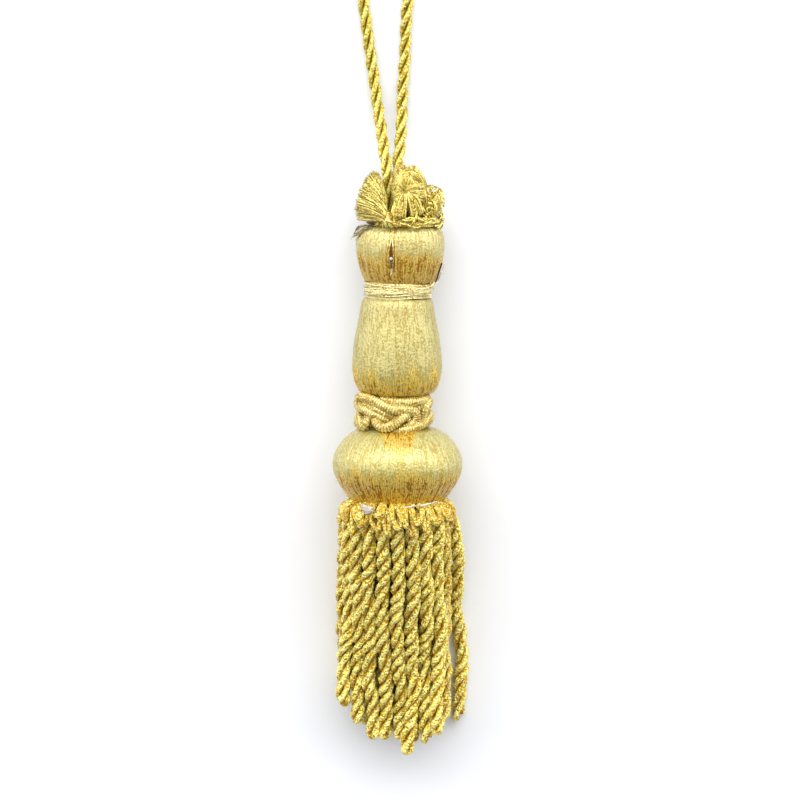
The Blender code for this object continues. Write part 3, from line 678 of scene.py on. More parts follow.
def loop_ply(mesh, points, frames, phase, start):
    """One ply of the cord, with the yarns that show on it, and painted shade in the grooves."""
    along = lengths_along(points)
    turn = (2 * math.pi * along / LOOP_LAY + phase)[:, None]
    lean = np.cos(turn) * frames[0] + np.sin(turn) * frames[1]
    middle = points + LOOP_ORBIT * lean
    own = frames_of(middle)
    twist = 2 * math.pi * LOOP_YARNS * along[:, None] / LOOP_YARN_LAY
    wave = 0.5 + 0.5 * np.cos(LOOP_YARNS * angles_round(LOOP_SIDES)[None] + twist)
    radii = (LOOP_PLY - LOOP_RELIEF * (1 - wave)) * rounded_ends(middle, LOOP_PLY)[:, None]
    crest = crest_share(own, lean, LOOP_SIDES) ** LOOP_GROOVE_CURVE
    shown = shade_of(wave, LOOP_YARN_VALLEY) * shade_of(crest, LOOP_GROOVE_SHADE)
    roll_tube(mesh, middle, own, radii, shown, start=start)


def make_loop():
    """The hanging loop, a cord of three plies that leaves the ruff and comes back into it."""
    route = smooth_route([(x, BALL_Y + y, z) for x, y, z in LOOP_ROUTE], LOOP_STEP)
    frames = frames_of(route)
    mesh = thread_bmesh()
    for ply in range(LOOP_PLIES):
        loop_ply(mesh, route, frames, 2 * math.pi * ply / LOOP_PLIES, LOOP_PLY_START * ply)
    piece = finish_piece("loop_cord", mesh, "loop_thread", ["hanging_loop"])


# --- Wrapped moulds ---

def spread_over(count, spans, rng):
    """For each of so many threads, a value that drifts from bundle to bundle."""
    starts = np.concatenate([[0], np.cumsum(spans)])
    values = rng.uniform(-1, 1, len(spans))
    return np.interp(np.arange(count), starts, [*values, values[0]])


def bundle_spans(count, rng):
    """How many threads lie in each bundle round a mould."""
    spans = []
    while sum(spans) < count:
        spans.append(int(rng.integers(BUNDLE[0], BUNDLE[1] + 1)))
    spans[-1] -= sum(spans) - count
    return [span for span in spans if span > 0]


def bare_mould(outline, across, threads):
    """A mould with an even wrapping: nowhere closely laid under painted sheen, nowhere parted or in lumps."""
    return {"outline": outline, "across": across, "threads": threads, "rim_lumps": 0.0, "close_sheen_from": 2.0,
            "close_sheen_to": 3.0, "parted": None}


def turned_mould(outline, steps):
    """A mesh of the outline turned round the axis in so many steps, and the outline's rows."""
    rows = smooth_route(outline, MOULD_STEP)
    rows = np.concatenate([[(rows[0][0], 0.0)], rows, [(rows[-1][0], 0.0)]])
    mesh = thread_bmesh()
    bm = mesh[0]
    verts = [bm.verts.new((radius, 0.0, along)) for along, radius in rows]
    edges = [bm.edges.new(pair) for pair in zip(verts, verts[1:])]
    bmesh.ops.spin(bm, geom=verts + edges, cent=(0, 0, 0), axis=(0, 0, 1), angle=2 * math.pi, steps=steps,
                   use_merge=True)
    bmesh.ops.remove_doubles(bm, verts=bm.verts, dist=SEAM)
    return mesh, rows


def closeness_and_sheen(mould, spot, share, drift):
    """How closely a mould's threads lie at a spot on it, 0 to 1, which is also the share of painted sheen
    there.
    """
    close_sheen_to = mould["close_sheen_to"]
    if mould["parted"] is not None:
        beside = (spot.x - mould["parted"]) / PARTED_SHADE_HALF
        close_sheen_to += 1 - math.exp(-beside ** 4) if spot.y < 0 else 1
    into_close_sheen = min(share - mould["close_sheen_from"], close_sheen_to - share) / CLOSE_SHEEN_BLEND + 0.5
    return min(1.0, max(0.0, into_close_sheen + CLOSE_SHEEN_DRIFT * drift))


def open_slit(angle, lift, shown, radius, along, threads):
    """At the parting a thread moves aside; beside it threads stand up, and in it they lie deep, darkened by
    painted shade.
    """
    from_slit = (angle + math.pi / 2 - SLIT_ANGLE + math.pi) % (2 * math.pi) - math.pi
    reach = max(0.0, 1 - ((along - SLIT_ALONG) / SLIT_HALF_LENGTH) ** 2) ** 0.8
    near = math.exp(-(from_slit * radius / SLIT_PUSH) ** 2)
    side = 1 if from_slit >= 0 else -1
    angle += side * near * reach * SLIT_OPENING / radius
    inside, beside = SLIT_HALF
    if abs(from_slit) < inside * math.pi / threads:
        return angle, lift - SLIT_DEPTH * reach, shown * (1 - reach)
    if abs(from_slit) < beside * math.pi / threads:
        return angle, lift + SLIT_RAISE * reach, 1.0
    return angle, lift, shown


def wrap_mould(mould, rng, slit=False):
    """A turned mould under its wrapping: every thread runs from end to end, in uneven bundles, with painted
    shade in its lines and creases.
    """
    threads, samples = mould["threads"], len(THREAD_ARCH)
    mesh, rows = turned_mould(mould["outline"], threads * samples)
    bm, place, shade_and_sheen = mesh
    spans = bundle_spans(threads, rng)
    firsts = np.concatenate([[0], np.cumsum(spans)[:-1]])
    depths = rng.uniform(0, 1, len(spans)) ** CREASE_BIAS * CREASE_DEPTH
    owner = np.repeat(np.arange(len(spans)), spans)
    heights = rng.normal(0, THREAD_UNEVEN, threads)
    darks = rng.uniform(*THREAD_DARK, threads)
    phases = rng.uniform(0, 2 * math.pi, threads)
    drift_low = spread_over(threads + 1, spans, rng)
    drift_high = spread_over(threads + 1, spans, rng)
    low, high = rows[:, 0].min(), rows[:, 0].max()
    widest = rows[:, 1].max()
    width = 2 * math.pi * widest / threads
    for vert in bm.verts:
        radius = math.hypot(vert.co.x, vert.co.y)
        if radius < ON_AXIS:
            continue
        turn = math.atan2(vert.co.y, vert.co.x) / (2 * math.pi)
        column = round(turn * threads * samples) % (threads * samples)
        number, sample = divmod(column, samples)
        share = (vert.co.z - low) / (high - low)
        bundle = owner[number]
        into = (number - firsts[bundle] + sample / samples) * width
        left = spans[bundle] * width - into
        crease = (depths[bundle] * math.exp(-(into / CREASE_WIDTH) ** 2)
                  + depths[(bundle + 1) % len(spans)] * math.exp(-(left / CREASE_WIDTH) ** 2))
        # Where the threads lie closely fewer lines show, and the painted sheen makes them paler.
        close_sheen = closeness_and_sheen(mould, vert.co, share, drift_low[number])
        lines = 1 - CLOSE_SHARE * close_sheen
        crease *= lines * math.sin(math.pi * min(0.999, max(0.001, share))) ** CREASE_FADE
        top = 1 - lines * (1 - THREAD_ARCH[sample])
        lift = THREAD_RELIEF * (top - 1) + heights[number] * top * lines - crease
        lift += THREAD_WAVER * math.sin(vert.co.z / WAVER_LENGTH + phases[number])
        if mould["rim_lumps"]:
            across_bundle = math.sin(math.pi * into / (into + left))
            lift += mould["rim_lumps"] * across_bundle * max(0.0, 1 - abs(share - RIM_PLACE) / RIM_REACH)
        stray = (drift_low[number] * (1 - share) + drift_high[number] * share) * math.sin(math.pi * share)
        angle = (column / samples + DRIFT * stray) * 2 * math.pi / threads
        # Painted shade: darker in the line beside each thread and in the creases between bundles; painted
        # sheen is added.
        in_crease = 1 - CREASE_DARK * min(1.0, crease / CREASE_DEPTH)
        shown = (1 - darks[number] * (1 - top)) * in_crease + close_sheen
        if slit:
            angle, lift, shown = open_slit(angle, lift, shown, radius, vert.co.z, threads)
        vert[place] = (widest * math.cos(angle), widest * math.sin(angle), vert.co.z)
        vert[shade_and_sheen] = shown
        grown = radius + lift * min(1.0, radius / widest) ** 2
        vert.co.x = mould["across"] + grown * math.cos(angle)
        vert.co.y = grown * math.sin(angle)
    return mesh


def make_moulds():
    """The ball, the pear and the upper bulb."""
    for number, mould in enumerate(records(MOULD_COLUMNS, MOULDS)):
        node = mould["node"]
        mesh = wrap_mould(mould, np.random.default_rng(11 + number), slit=node == "upper_bulb")
        finish_piece("wrapped_" + node, mesh, mould["finish"], [node], HEAD_MATRIX)


# --- Neck binding ---
NECK_X = 0.0004
NECK_STEP = 0.0006
# Flat bundles of thread round the neck: the middle's place, how much higher it lies to the right, its radius
# and its threads.
NECK_COLUMNS = ("place", "slant", "radius", "threads")
NECK_BUNDLES = (
    (0.0444, 0.00005, 0.00850, 5), (0.0458, 0.00010, 0.00855, 5), (0.0471, -0.00010, 0.00860, 5),
    (0.0452, 0.00045, 0.00888, 4), (0.0463, 0.00055, 0.00895, 4), (0.0468, -0.00040, 0.00905, 4),
    (0.0456, 0.00085, 0.00915, 2),
)
NECK_THREAD = 0.00018
NECK_SPACING = 1.75        # from one thread of a bundle to the next, in thread radii
NECK_SWAY = 0.00012        # how far a bundle wanders along the neck, and how far in and out
NECK_SWELL = 0.00008
NECK_WAVER = 0.00005       # how far a single thread wanders, and how much its radius differs
NECK_UNEVEN = 0.00003
NECK_KNOT = (
    (0.0079, 0.0464, 0.0046), (0.0087, 0.0469, 0.0044), (0.0093, 0.0476, 0.0036), (0.0088, 0.0480, 0.0030),
    (0.0084, 0.0474, 0.0036), (0.0090, 0.0468, 0.0034), (0.0093, 0.0472, 0.0024),
)
NECK_KNOT_THREAD = (0.00046, 4, 0.0016, 0.00007)   # radius, yarns, lay and relief
KNOT_STEP = 0.0004


def ring_round(angles, radii, places, across, lift=0.0):
    """A closed route round the head's axis, and its two directions across at each point."""
    points = np.stack([across + radii * np.cos(angles), radii * np.sin(angles) - lift, places], axis=1)
    outward = np.stack([np.cos(angles), np.sin(angles), 0 * angles], axis=1)
    return points, frames_outward(points, outward)


def make_neck_binding():
    """Thread wound round the neck in flat bundles that cross each other, with a knot at one side."""
    rng = np.random.default_rng(21)
    mesh = thread_bmesh()
    for bundle in records(NECK_COLUMNS, NECK_BUNDLES):
        angles = angles_round(round(2 * math.pi * bundle["radius"] / NECK_STEP))
        sway = rng.uniform(0, 2 * math.pi, 3)
        for number in range(bundle["threads"]):
            step = (number - (bundle["threads"] - 1) / 2) * NECK_SPACING * NECK_THREAD
            waver = NECK_WAVER * np.sin(rng.integers(2, 6) * angles + rng.uniform(0, 6))
            places = (bundle["place"] + step + bundle["slant"] * np.cos(angles)
                      + NECK_SWAY * np.sin(3 * angles + sway[0]) + waver)
            radii = (bundle["radius"] + NECK_SWELL * np.sin(2 * angles + sway[1]) + 0.6 * waver
                     + rng.normal(0, NECK_UNEVEN))
            points, frames = ring_round(angles, radii, places, NECK_X)
            girth = NECK_THREAD * np.ones((len(angles), FINE_SIDES))
            roll_tube(mesh, points, frames, girth, closed=True, start=rng.uniform(0, 1))
    knot = smooth_route([(across, -up, along) for across, along, up in NECK_KNOT], KNOT_STEP)
    twisted_thread(mesh, knot, *NECK_KNOT_THREAD)
    finish_piece("neck_winding", mesh, "neck_thread", ["neck_binding"], HEAD_MATRIX)


# --- Ruff binding ---
RUFF_X = 0.0022            # how far across the turns' middle lies, and how far up
RUFF_LIFT = 0.00045
RUFF_COLUMNS = ("place", "radius", "strand", "sway", "phase")
RUFF_STRANDS = (
    (0.06265, 0.00850, 0.00044, 0.00020, 0.4), (0.06310, 0.00895, 0.00048, 0.00022, 2.1),
    (0.06375, 0.00880, 0.00046, 0.00026, 4.0), (0.06430, 0.00830, 0.00044, 0.00024, 5.2),
    (0.06330, 0.00860, 0.00060, 0.00005, 1.0), (0.06300, 0.00910, 0.00034, 0.00050, 3.1),
)
RUFF_STEP = 0.00035
RUFF_SIDES = 12
RUFF_SWELL = 0.00012       # how far a turn wanders in and out
RUFF_YARNS = 3
RUFF_TWISTS = 66           # by how many yarns they twist on in one turn
RUFF_RELIEF = 0.00010
# Short ends caught in the turns, each a bow of thread: half its sweep in radians, how much it slants, its
# place, how far out it lies, how far its middle bows out, and its radius, from least to most.
BIT_COUNT = 56
BIT_HALF = (0.06, 0.20)
BIT_SLANT = 0.0007
BIT_PLACE = (0.0624, 0.0648)
BIT_OUT = (0.0089, 0.0094)
BIT_BOW = (0.0002, 0.0008)
BIT_RADIUS = (0.00016, 0.00032)
BIT_SHARES = (-1, -0.4, 0.3, 1)
BIT_SIDES = 7
KNOT_COLUMNS = ("radius", "knots")
RUFF_KNOT_STEP = 0.0003
RUFF_KNOT_YARNS = (3, 0.0020, 0.00010)     # yarns, lay and relief
RUFF_KNOTS = (
    (0.55, ((-2.6, 62.3, 10.1), (-2.9, 63.4, 11.1), (-2.5, 64.9, 10.9), (-2.2, 66.2, 9.4))),
    (0.52, ((-1.2, 62.2, 10.3), (-1.9, 63.2, 11.4), (-2.0, 64.6, 11.1), (-1.5, 66.0, 9.4))),
    (0.40, ((0.0, 62.2, 10.2), (-0.6, 63.0, 11.0), (-0.9, 64.3, 10.4), (-0.8, 65.6, 8.8))),
    (0.44, ((-3.6, 63.6, 9.8), (-2.4, 63.9, 11.7), (-0.9, 63.3, 11.3), (0.6, 62.8, 10.7),
            (2.0, 62.6, 10.0))),
    (0.36, ((0.4, 63.4, 10.6), (2.2, 62.9, 10.9), (4.2, 62.3, 10.4), (5.6, 62.4, 9.6), (6.8, 63.1, 8.4))),
    (0.34, ((1.0, 64.2, 10.0), (2.6, 63.9, 10.4), (4.0, 64.3, 9.8), (5.4, 65.2, 8.4))),
    (0.30, ((5.0, 63.9, 9.3), (7.0, 63.5, 8.6), (8.8, 63.8, 6.6), (10.2, 64.2, 3.6))),
)


def make_bit(mesh, rng):
    """One short end of thread, caught in the turns at any place round them."""
    turned, half, slant = rng.uniform(0, 2 * math.pi), rng.uniform(*BIT_HALF), rng.normal(0, BIT_SLANT)
    place, out, bow = rng.uniform(*BIT_PLACE), rng.uniform(*BIT_OUT), rng.uniform(*BIT_BOW)
    rows = [(turned + half * share, out + bow * (1 - share * share), place + slant * share)
            for share in BIT_SHARES]
    knots = [(RUFF_X + radius * math.cos(turn), radius * math.sin(turn) - RUFF_LIFT, along)
             for turn, radius, along in rows]
    plain_thread(mesh, smooth_route(knots, KNOT_STEP), rng.uniform(*BIT_RADIUS), BIT_SIDES, start=turned)


def make_ruff_binding():
    """Loose turns of twisted thread that tie the ends down on the bulb, with a knot in front."""
    mesh = thread_bmesh()
    for strand in records(RUFF_COLUMNS, RUFF_STRANDS):
        angles = angles_round(round(2 * math.pi * strand["radius"] / RUFF_STEP))
        radii = strand["radius"] + RUFF_SWELL * np.sin(3 * angles + 2 * strand["phase"])
        places = strand["place"] + strand["sway"] * np.sin(2 * angles + strand["phase"])
        places += 0.3 * strand["sway"] * np.sin(5 * angles)
        points, frames = ring_round(angles, radii, places, RUFF_X, RUFF_LIFT)
        twist = RUFF_TWISTS * angles[:, None]
        wave = 0.5 + 0.5 * np.cos(RUFF_YARNS * angles_round(RUFF_SIDES)[None] + twist)
        girth = strand["strand"] - RUFF_RELIEF * (1 - wave)
        shown = shade_of(wave, YARN_VALLEY)
        roll_tube(mesh, points, frames, girth, shown, closed=True, start=strand["phase"])
    for knot in records(KNOT_COLUMNS, RUFF_KNOTS):
        places = [(across, -up, along) for across, along, up in np.array(knot["knots"]) * MM]
        twisted_thread(mesh, smooth_route(places, RUFF_KNOT_STEP), knot["radius"] * MM, *RUFF_KNOT_YARNS)
    rng = np.random.default_rng(25)
    for _ in range(BIT_COUNT):
        make_bit(mesh, rng)
    finish_piece("ruff_cord", mesh, "ruff_thread", ["ruff_binding"], HEAD_MATRIX)


# --- Plaited collar ---
COLLAR_X = -0.0010
COLLAR_PLACE = 0.01425
COLLAR_RADIUS = 0.0080
COLLAR_LAPS = 3
COLLAR_BIGHTS = 7
COLLAR_SWAY = 0.00285
COLLAR_WEAVE = 0.0013
COLLAR_FRONT_DIP = 0.0017  # how much deeper the plait lies in front, under the strands drawn over it
COLLAR_STEPS = 2000        # in which the plait's route is worked out
GIMP_HALF = (0.00116, 0.00140)     # half the gimp's thickness in and out, half its width
GIMP_RIB = 0.00064         # from one cross rib to the next
GIMP_RELIEF = 0.00022
GIMP_SIDES = 14
GIMP_VALLEY = 0.15         # how a place shows between two ribs: painted shade
RIB_STEPS = 4              # rings to a rib
RIB_BOW = 0.35             # how much later a rib comes at one edge than at the other
COLLAR_ROW_STEP = 5.0
COLLAR_SMOOTHING = 8
COLLAR_START = 0.1         # how far the thread's grain is moved from one strand to the next
# The strands in front: degrees from the top (- to the left), place along the axis and radius in millimetres.
COLLAR_FRONT = (
    ((-122, 15.2, 6.6), (-104, 15.6, 8.0), (-88, 16.9, 9.0), (-70, 17.9, 9.2), (-54, 18.1, 9.2),
     (-32, 17.4, 9.2), (-14, 16.2, 9.3), (2, 15.3, 9.3), (17, 15.15, 9.2), (29, 15.0, 9.2),
     (39, 14.1, 9.2), (41, 12.7, 9.1), (32, 11.3, 8.9), (20, 10.5, 8.7), (6, 9.9, 8.0), (-10, 9.8, 7.2)),
    ((-118, 17.9, 6.6), (-100, 17.6, 7.6), (-74, 16.7, 8.2), (-46, 16.0, 8.6), (-28, 15.1, 8.8),
     (-14, 14.1, 8.4), (-1, 13.3, 7.7), (13, 12.4, 7.2)),
    ((-9, 9.5, 7.4), (4, 9.6, 8.3), (17, 9.9, 9.2), (32, 10.5, 9.4), (48, 11.2, 9.5), (70, 12.1, 9.5),
     (90, 13.3, 9.2), (108, 14.6, 8.0), (124, 15.6, 6.6)),
    ((-29, 17.8, 7.2), (-9, 17.4, 8.0), (11, 17.2, 8.6), (29, 17.2, 8.8), (48, 17.3, 8.9),
     (72, 17.6, 8.8), (96, 17.4, 8.0), (116, 16.4, 6.6)),
    ((118, 15.6, 6.6), (100, 16.4, 8.2), (82, 16.7, 9.2), (69, 16.2, 9.4), (60, 15.0, 9.4),
     (61, 13.4, 9.0), (63, 11.9, 8.0), (50, 10.9, 7.2)),
    ((-124, 17.4, 6.6), (-104, 16.8, 8.0), (-82, 15.9, 9.2), (-58, 15.3, 9.4), (-44, 14.6, 9.3),
     (-31, 13.7, 9.0), (-18, 12.9, 8.3), (-3, 12.4, 7.4)),
    ((-20, 14.2, 7.4), (-31, 13.5, 8.0), (-31, 12.4, 9.0), (-22, 11.1, 9.5), (-10, 10.8, 9.6),
     (2, 11.9, 9.6), (13, 13.2, 9.3), (24, 14.1, 8.7), (36, 15.3, 7.6), (47, 16.4, 7.2)),
    ((-45, 15.1, 7.6), (-46, 13.8, 8.6), (-47, 12.5, 9.3), (-52, 11.2, 9.5), (-63, 11.1, 9.3),
     (-72, 12.4, 9.2), (-84, 13.9, 8.6), (-98, 15.2, 7.2)),
    ((-124, 14.6, 6.6), (-108, 13.6, 8.2), (-92, 12.2, 9.2), (-80, 10.9, 9.2), (-68, 10.0, 8.4),
     (-54, 9.7, 7.4)),
)


def roll_gimp(mesh, points, places, rib, closed=False, start=0.0):
    """A ribbed gimp cord along a route, with painted shade between its ribs, flatter in and out than across;
    an open one has round ends.
    """
    angles = angles_round(GIMP_SIDES)
    wave = 0.5 + 0.5 * np.cos(2 * math.pi * places[:, None] / rib + RIB_BOW * np.sin(angles)[None])
    thick, wide = GIMP_HALF
    girth = 1 / np.hypot(np.cos(angles) / thick, np.sin(angles) / wide)
    radii = girth[None] - GIMP_RELIEF * (1 - wave)
    if not closed:
        radii = radii * rounded_ends(points, wide)[:, None]
    outward = unit(np.stack([points[:, 0] - COLLAR_X, points[:, 1], 0 * places], axis=1))
    roll_tube(mesh, points, frames_outward(points, outward, closed), radii, shade_of(wave, GIMP_VALLEY),
              closed, start)


def make_collar():
    """A plait of gimp cord round the neck, with the loosely drawn strands of its knot in front."""
    step = 2 * math.pi * np.arange(COLLAR_STEPS + 1) / COLLAR_STEPS
    lap = COLLAR_LAPS * step
    facing = np.clip(-np.sin(lap), 0, 1)
    radius = COLLAR_RADIUS + COLLAR_WEAVE * np.sin(2 * COLLAR_BIGHTS * step) - COLLAR_FRONT_DIP * facing
    fine = np.stack([COLLAR_X + radius * np.cos(lap), radius * np.sin(lap),
                     COLLAR_PLACE + COLLAR_SWAY * np.sin(COLLAR_BIGHTS * step)], axis=1)
    lengths = lengths_along(fine)
    ribs = round(lengths[-1] / GIMP_RIB)
    places = np.arange(RIB_STEPS * ribs) / (RIB_STEPS * ribs) * lengths[-1]
    points = np.stack([np.interp(places, lengths, column) for column in fine.T], axis=1)
    mesh = thread_bmesh()
    roll_gimp(mesh, points, places, lengths[-1] / ribs, closed=True)
    finish_piece("collar_plait", mesh, "gimp", ["plaited_collar"], HEAD_MATRIX)

    mesh = thread_bmesh()
    for number, knots in enumerate(COLLAR_FRONT):
        rows = smooth_route(knots, COLLAR_ROW_STEP)
        turned = np.radians(rows[:, 0])
        path = np.stack([COLLAR_X + MM * rows[:, 2] * np.sin(turned), -MM * rows[:, 2] * np.cos(turned),
                         MM * rows[:, 1]], axis=1)
        points = smooth_route(path, GIMP_RIB / RIB_STEPS, COLLAR_SMOOTHING)
        roll_gimp(mesh, points, lengths_along(points), GIMP_RIB, start=COLLAR_START * number)
    finish_piece("collar_front", mesh, "gimp", ["plaited_collar"], HEAD_MATRIX)


# --- Ruff ---
SHEET_COLUMNS = ("piece", "finish", "threads", "layers", "depth", "radius", "jitter", "trim", "guides")
RUFF_SHEETS = (
    ("ruff_fan_low", "fan_thread", 17, 3, 0.60, 0.25, 0.10, 0.08, (
        ((-2.6, 63.5, 9.8), (-6.2, 63.8, 8.8), (-10.4, 64.1, 4.8)),
        ((-2.5, 64.1, 9.9), (-6.6, 65.8, 8.8), (-10.9, 66.6, 4.8)),
        ((-2.4, 64.8, 9.8), (-6.5, 67.8, 8.7), (-10.5, 69.4, 5.0)),
        ((-2.3, 65.4, 9.6), (-6.0, 69.7, 8.4), (-9.6, 72.0, 5.2)))),
    ("ruff_fan_high", "fan_thread", 32, 3, 0.50, 0.17, 0.10, 0.08, (
        ((-2.3, 65.8, 9.4), (-5.8, 69.6, 8.2), (-9.6, 71.6, 5.0)),
        ((-2.4, 67.0, 9.0), (-5.8, 72.2, 8.0), (-8.3, 74.6, 5.2)),
        ((-2.5, 68.0, 8.6), (-5.0, 74.0, 7.6), (-6.4, 76.6, 5.6)),
        ((-2.4, 68.2, 8.4), (-3.9, 73.2, 7.2), (-4.5, 75.8, 6.0)))),
    ("ruff_curtain_left", "ruff_thread", 14, 2, 0.50, 0.25, 0.10, 0.03, (
        ((1.2, 71.4, 9.9), (-0.9, 68.6, 9.5), (-2.0, 64.6, 9.6)),
        ((1.5, 71.2, 10.0), (0.5, 68.4, 10.1), (-0.2, 64.2, 10.2)),
        ((1.8, 71.1, 10.0), (2.4, 68.4, 10.1), (1.9, 64.4, 10.2)))),
    ("ruff_curtain_right", "ruff_thread", 10, 2, 0.50, 0.25, 0.10, 0.03, (
        ((2.1, 71.2, 9.9), (2.8, 68.4, 10.0), (3.5, 64.4, 10.0)),
        ((2.6, 71.5, 9.8), (5.4, 69.6, 9.0), (6.8, 65.4, 8.6)))),
    ("ruff_over_puff", "ruff_thread", 26, 1, 0.30, 0.17, 0.16, 0.10, (
        ((-1.0, 69.6, 7.8), (0.2, 73.4, 9.1), (2.6, 75.4, 9.1), (5.2, 74.4, 8.7), (6.8, 71.6, 7.7)),
        ((-1.4, 71.0, 7.7), (0.4, 75.6, 8.9), (3.2, 77.0, 8.2), (6.0, 76.0, 7.6), (7.6, 72.6, 6.0)))),
    ("ruff_lobe_edge", "ruff_thread", 10, 2, 0.50, 0.24, 0.12, 0.05, (
        ((3.6, 75.2, 7.2), (5.9, 72.4, 7.4), (6.7, 69.2, 6.8), (5.8, 65.2, 5.4)),
        ((3.8, 76.4, 5.4), (6.9, 73.6, 5.6), (8.0, 70.0, 5.6), (7.4, 66.4, 5.0)))),
    ("ruff_back_left", "ruff_thread", 26, 2, 0.50, 0.20, 0.15, 0.08, (
        ((-2.0, 64.0, -1.0), (-6.0, 64.6, -2.4), (-10.6, 65.2, -4.6)),
        ((-1.6, 64.2, -1.4), (-5.2, 68.0, -3.0), (-8.6, 71.0, -5.2)),
        ((-1.0, 64.2, -1.6), (-2.4, 68.6, -3.4), (-3.4, 72.6, -5.8)))),
    ("ruff_back_right", "ruff_thread", 26, 2, 0.50, 0.20, 0.15, 0.08, (
        ((0.8, 64.2, -1.4), (2.0, 69.4, -2.6), (3.4, 74.4, -4.4)),
        ((1.8, 64.2, -1.2), (5.6, 68.6, -2.4), (8.8, 72.0, -4.2)),
        ((2.4, 64.0, -1.0), (6.6, 65.0, -2.0), (11.0, 65.8, -3.6)))),
    ("ruff_left_fan_tuft", "tuft_thread", 11, 1, 0.30, 0.11, 0.45, 0.40, (
        ((-6.6, 62.6, 6.6), (-8.8, 61.4, 5.6), (-10.6, 59.6, 3.6)),
        ((-7.2, 63.0, 5.6), (-9.6, 61.8, 4.6), (-11.4, 60.0, 2.4)))),
    ("ruff_right_tuft", "tuft_thread", 12, 2, 0.50, 0.15, 0.25, 0.15, (
        ((9.4, 63.0, 4.6), (10.6, 63.2, 3.6), (11.4, 62.6, 2.4)),
        ((9.2, 64.2, 4.2), (10.6, 65.0, 3.2), (11.2, 65.8, 2.0)))),
    ("ruff_crest", "ruff_thread", 8, 2, 0.40, 0.16, 0.20, 0.10, (
        ((1.2, 73.6, 5.6), (1.6, 75.6, 5.0), (2.0, 77.0, 4.0)),
        ((2.2, 73.8, 6.0), (2.9, 75.8, 5.4), (3.4, 77.2, 4.4)))),
)
# A puff's threads rise from its dimple, fold over its rim and turn in under it.
PUFF_COLUMNS = ("piece", "across", "along", "up", "half_across", "half_along", "half_up", "dimple_across",
                "dimple_along", "threads", "uneven")
PUFFS = (
    ("ruff_puff", 0.0027, 0.0722, 0.0056, 0.0046, 0.0061, 0.0043, -0.0010, -0.0006, 70, 0.06),
    ("ruff_curl_puff", 0.0091, 0.0682, 0.0024, 0.0029, 0.0040, 0.0032, -0.0004, -0.0010, 34, 0.14),
)
PUFF_PROFILE = (
    (0.01, 0.93), (0.07, 0.95), (0.20, 0.99), (0.42, 0.98), (0.66, 0.82), (0.86, 0.52), (0.99, 0.06),
    (0.96, -0.40), (0.75, -0.85), (0.40, -1.00), (0.02, -1.00),
)
PUFF_RELIEF = 0.00022
PUFF_STEP = 0.07
PUFF_COLUMNS_ROUND = 5     # columns of faces to a thread
PUFF_LEAN = (0.30, 0.15)   # how far its threads lean round, in two and in five waves
PUFF_LUMPS = (1.0, 0.8, 0.6)   # the shares of its unevenness, in three, five and nine waves
# Painted shade: how a place shows between two of a puff's threads.
PUFF_VALLEY = 0.50
CROWN_ACROSS = 0.0003
CROWN_THREADS = 60
# Short curls thrown over the right lobe, in millimetres: across, along and up, and how far they reach, least
# and most. Past the edge they lie lower: by the first value of the fall times the distance past the edge to
# the power of the second.
TANGLE_COUNT = 26
TANGLE_ACROSS = (6.4, 10.4)
TANGLE_ALONG = (65.2, 71.2)
TANGLE_UP = (4.6, 6.0)
TANGLE_EDGE = 8.2
TANGLE_FALL = (0.32, 1.5)
TANGLE_REACH = (0.7, 1.9)
TANGLE_SWEEP = (1.8, 4.6)      # in radians
TANGLE_SHAPE = (1.2, 0.5)      # how much longer than wide, and how high it waves
TANGLE_RADIUS = (0.00013, 0.00022)     # metres
TANGLE_KNOTS = 7
CURL_SIDES = 7
CURL_STEP = 0.0004
CURL_COLUMNS = ("radius", "knots")
RUFF_CURLS = (
    (0.24, ((6.6, 68.6, 5.0), (8.3, 69.0, 5.8), (10.0, 67.8, 5.2), (11.0, 65.8, 3.6))),
    (0.22, ((6.0, 67.8, 6.4), (7.2, 66.0, 6.5), (8.6, 64.4, 5.6))),
    (0.26, ((7.2, 66.2, 5.2), (7.2, 67.6, 5.6), (8.2, 68.3, 5.8), (9.4, 67.6, 5.6), (9.7, 66.2, 5.2),
            (8.9, 65.2, 5.0), (7.9, 65.3, 5.2), (7.5, 66.3, 5.6), (8.0, 67.2, 6.0), (8.8, 66.9, 6.0))),
    (0.20, ((8.4, 71.2, 4.2), (9.4, 72.4, 4.0), (11.0, 71.8, 3.0), (11.9, 70.0, 2.2))),
    (0.20, ((9.0, 70.4, 4.8), (10.6, 70.8, 4.2), (12.0, 69.2, 2.6), (11.8, 67.0, 2.2))),
    (0.22, ((5.0, 66.8, 7.4), (5.8, 68.8, 7.4), (7.4, 70.0, 6.4), (9.0, 69.6, 5.4))),
    (0.20, ((4.4, 65.0, 7.6), (5.6, 65.8, 7.4), (6.8, 65.2, 6.8), (8.2, 64.0, 6.2))),
)


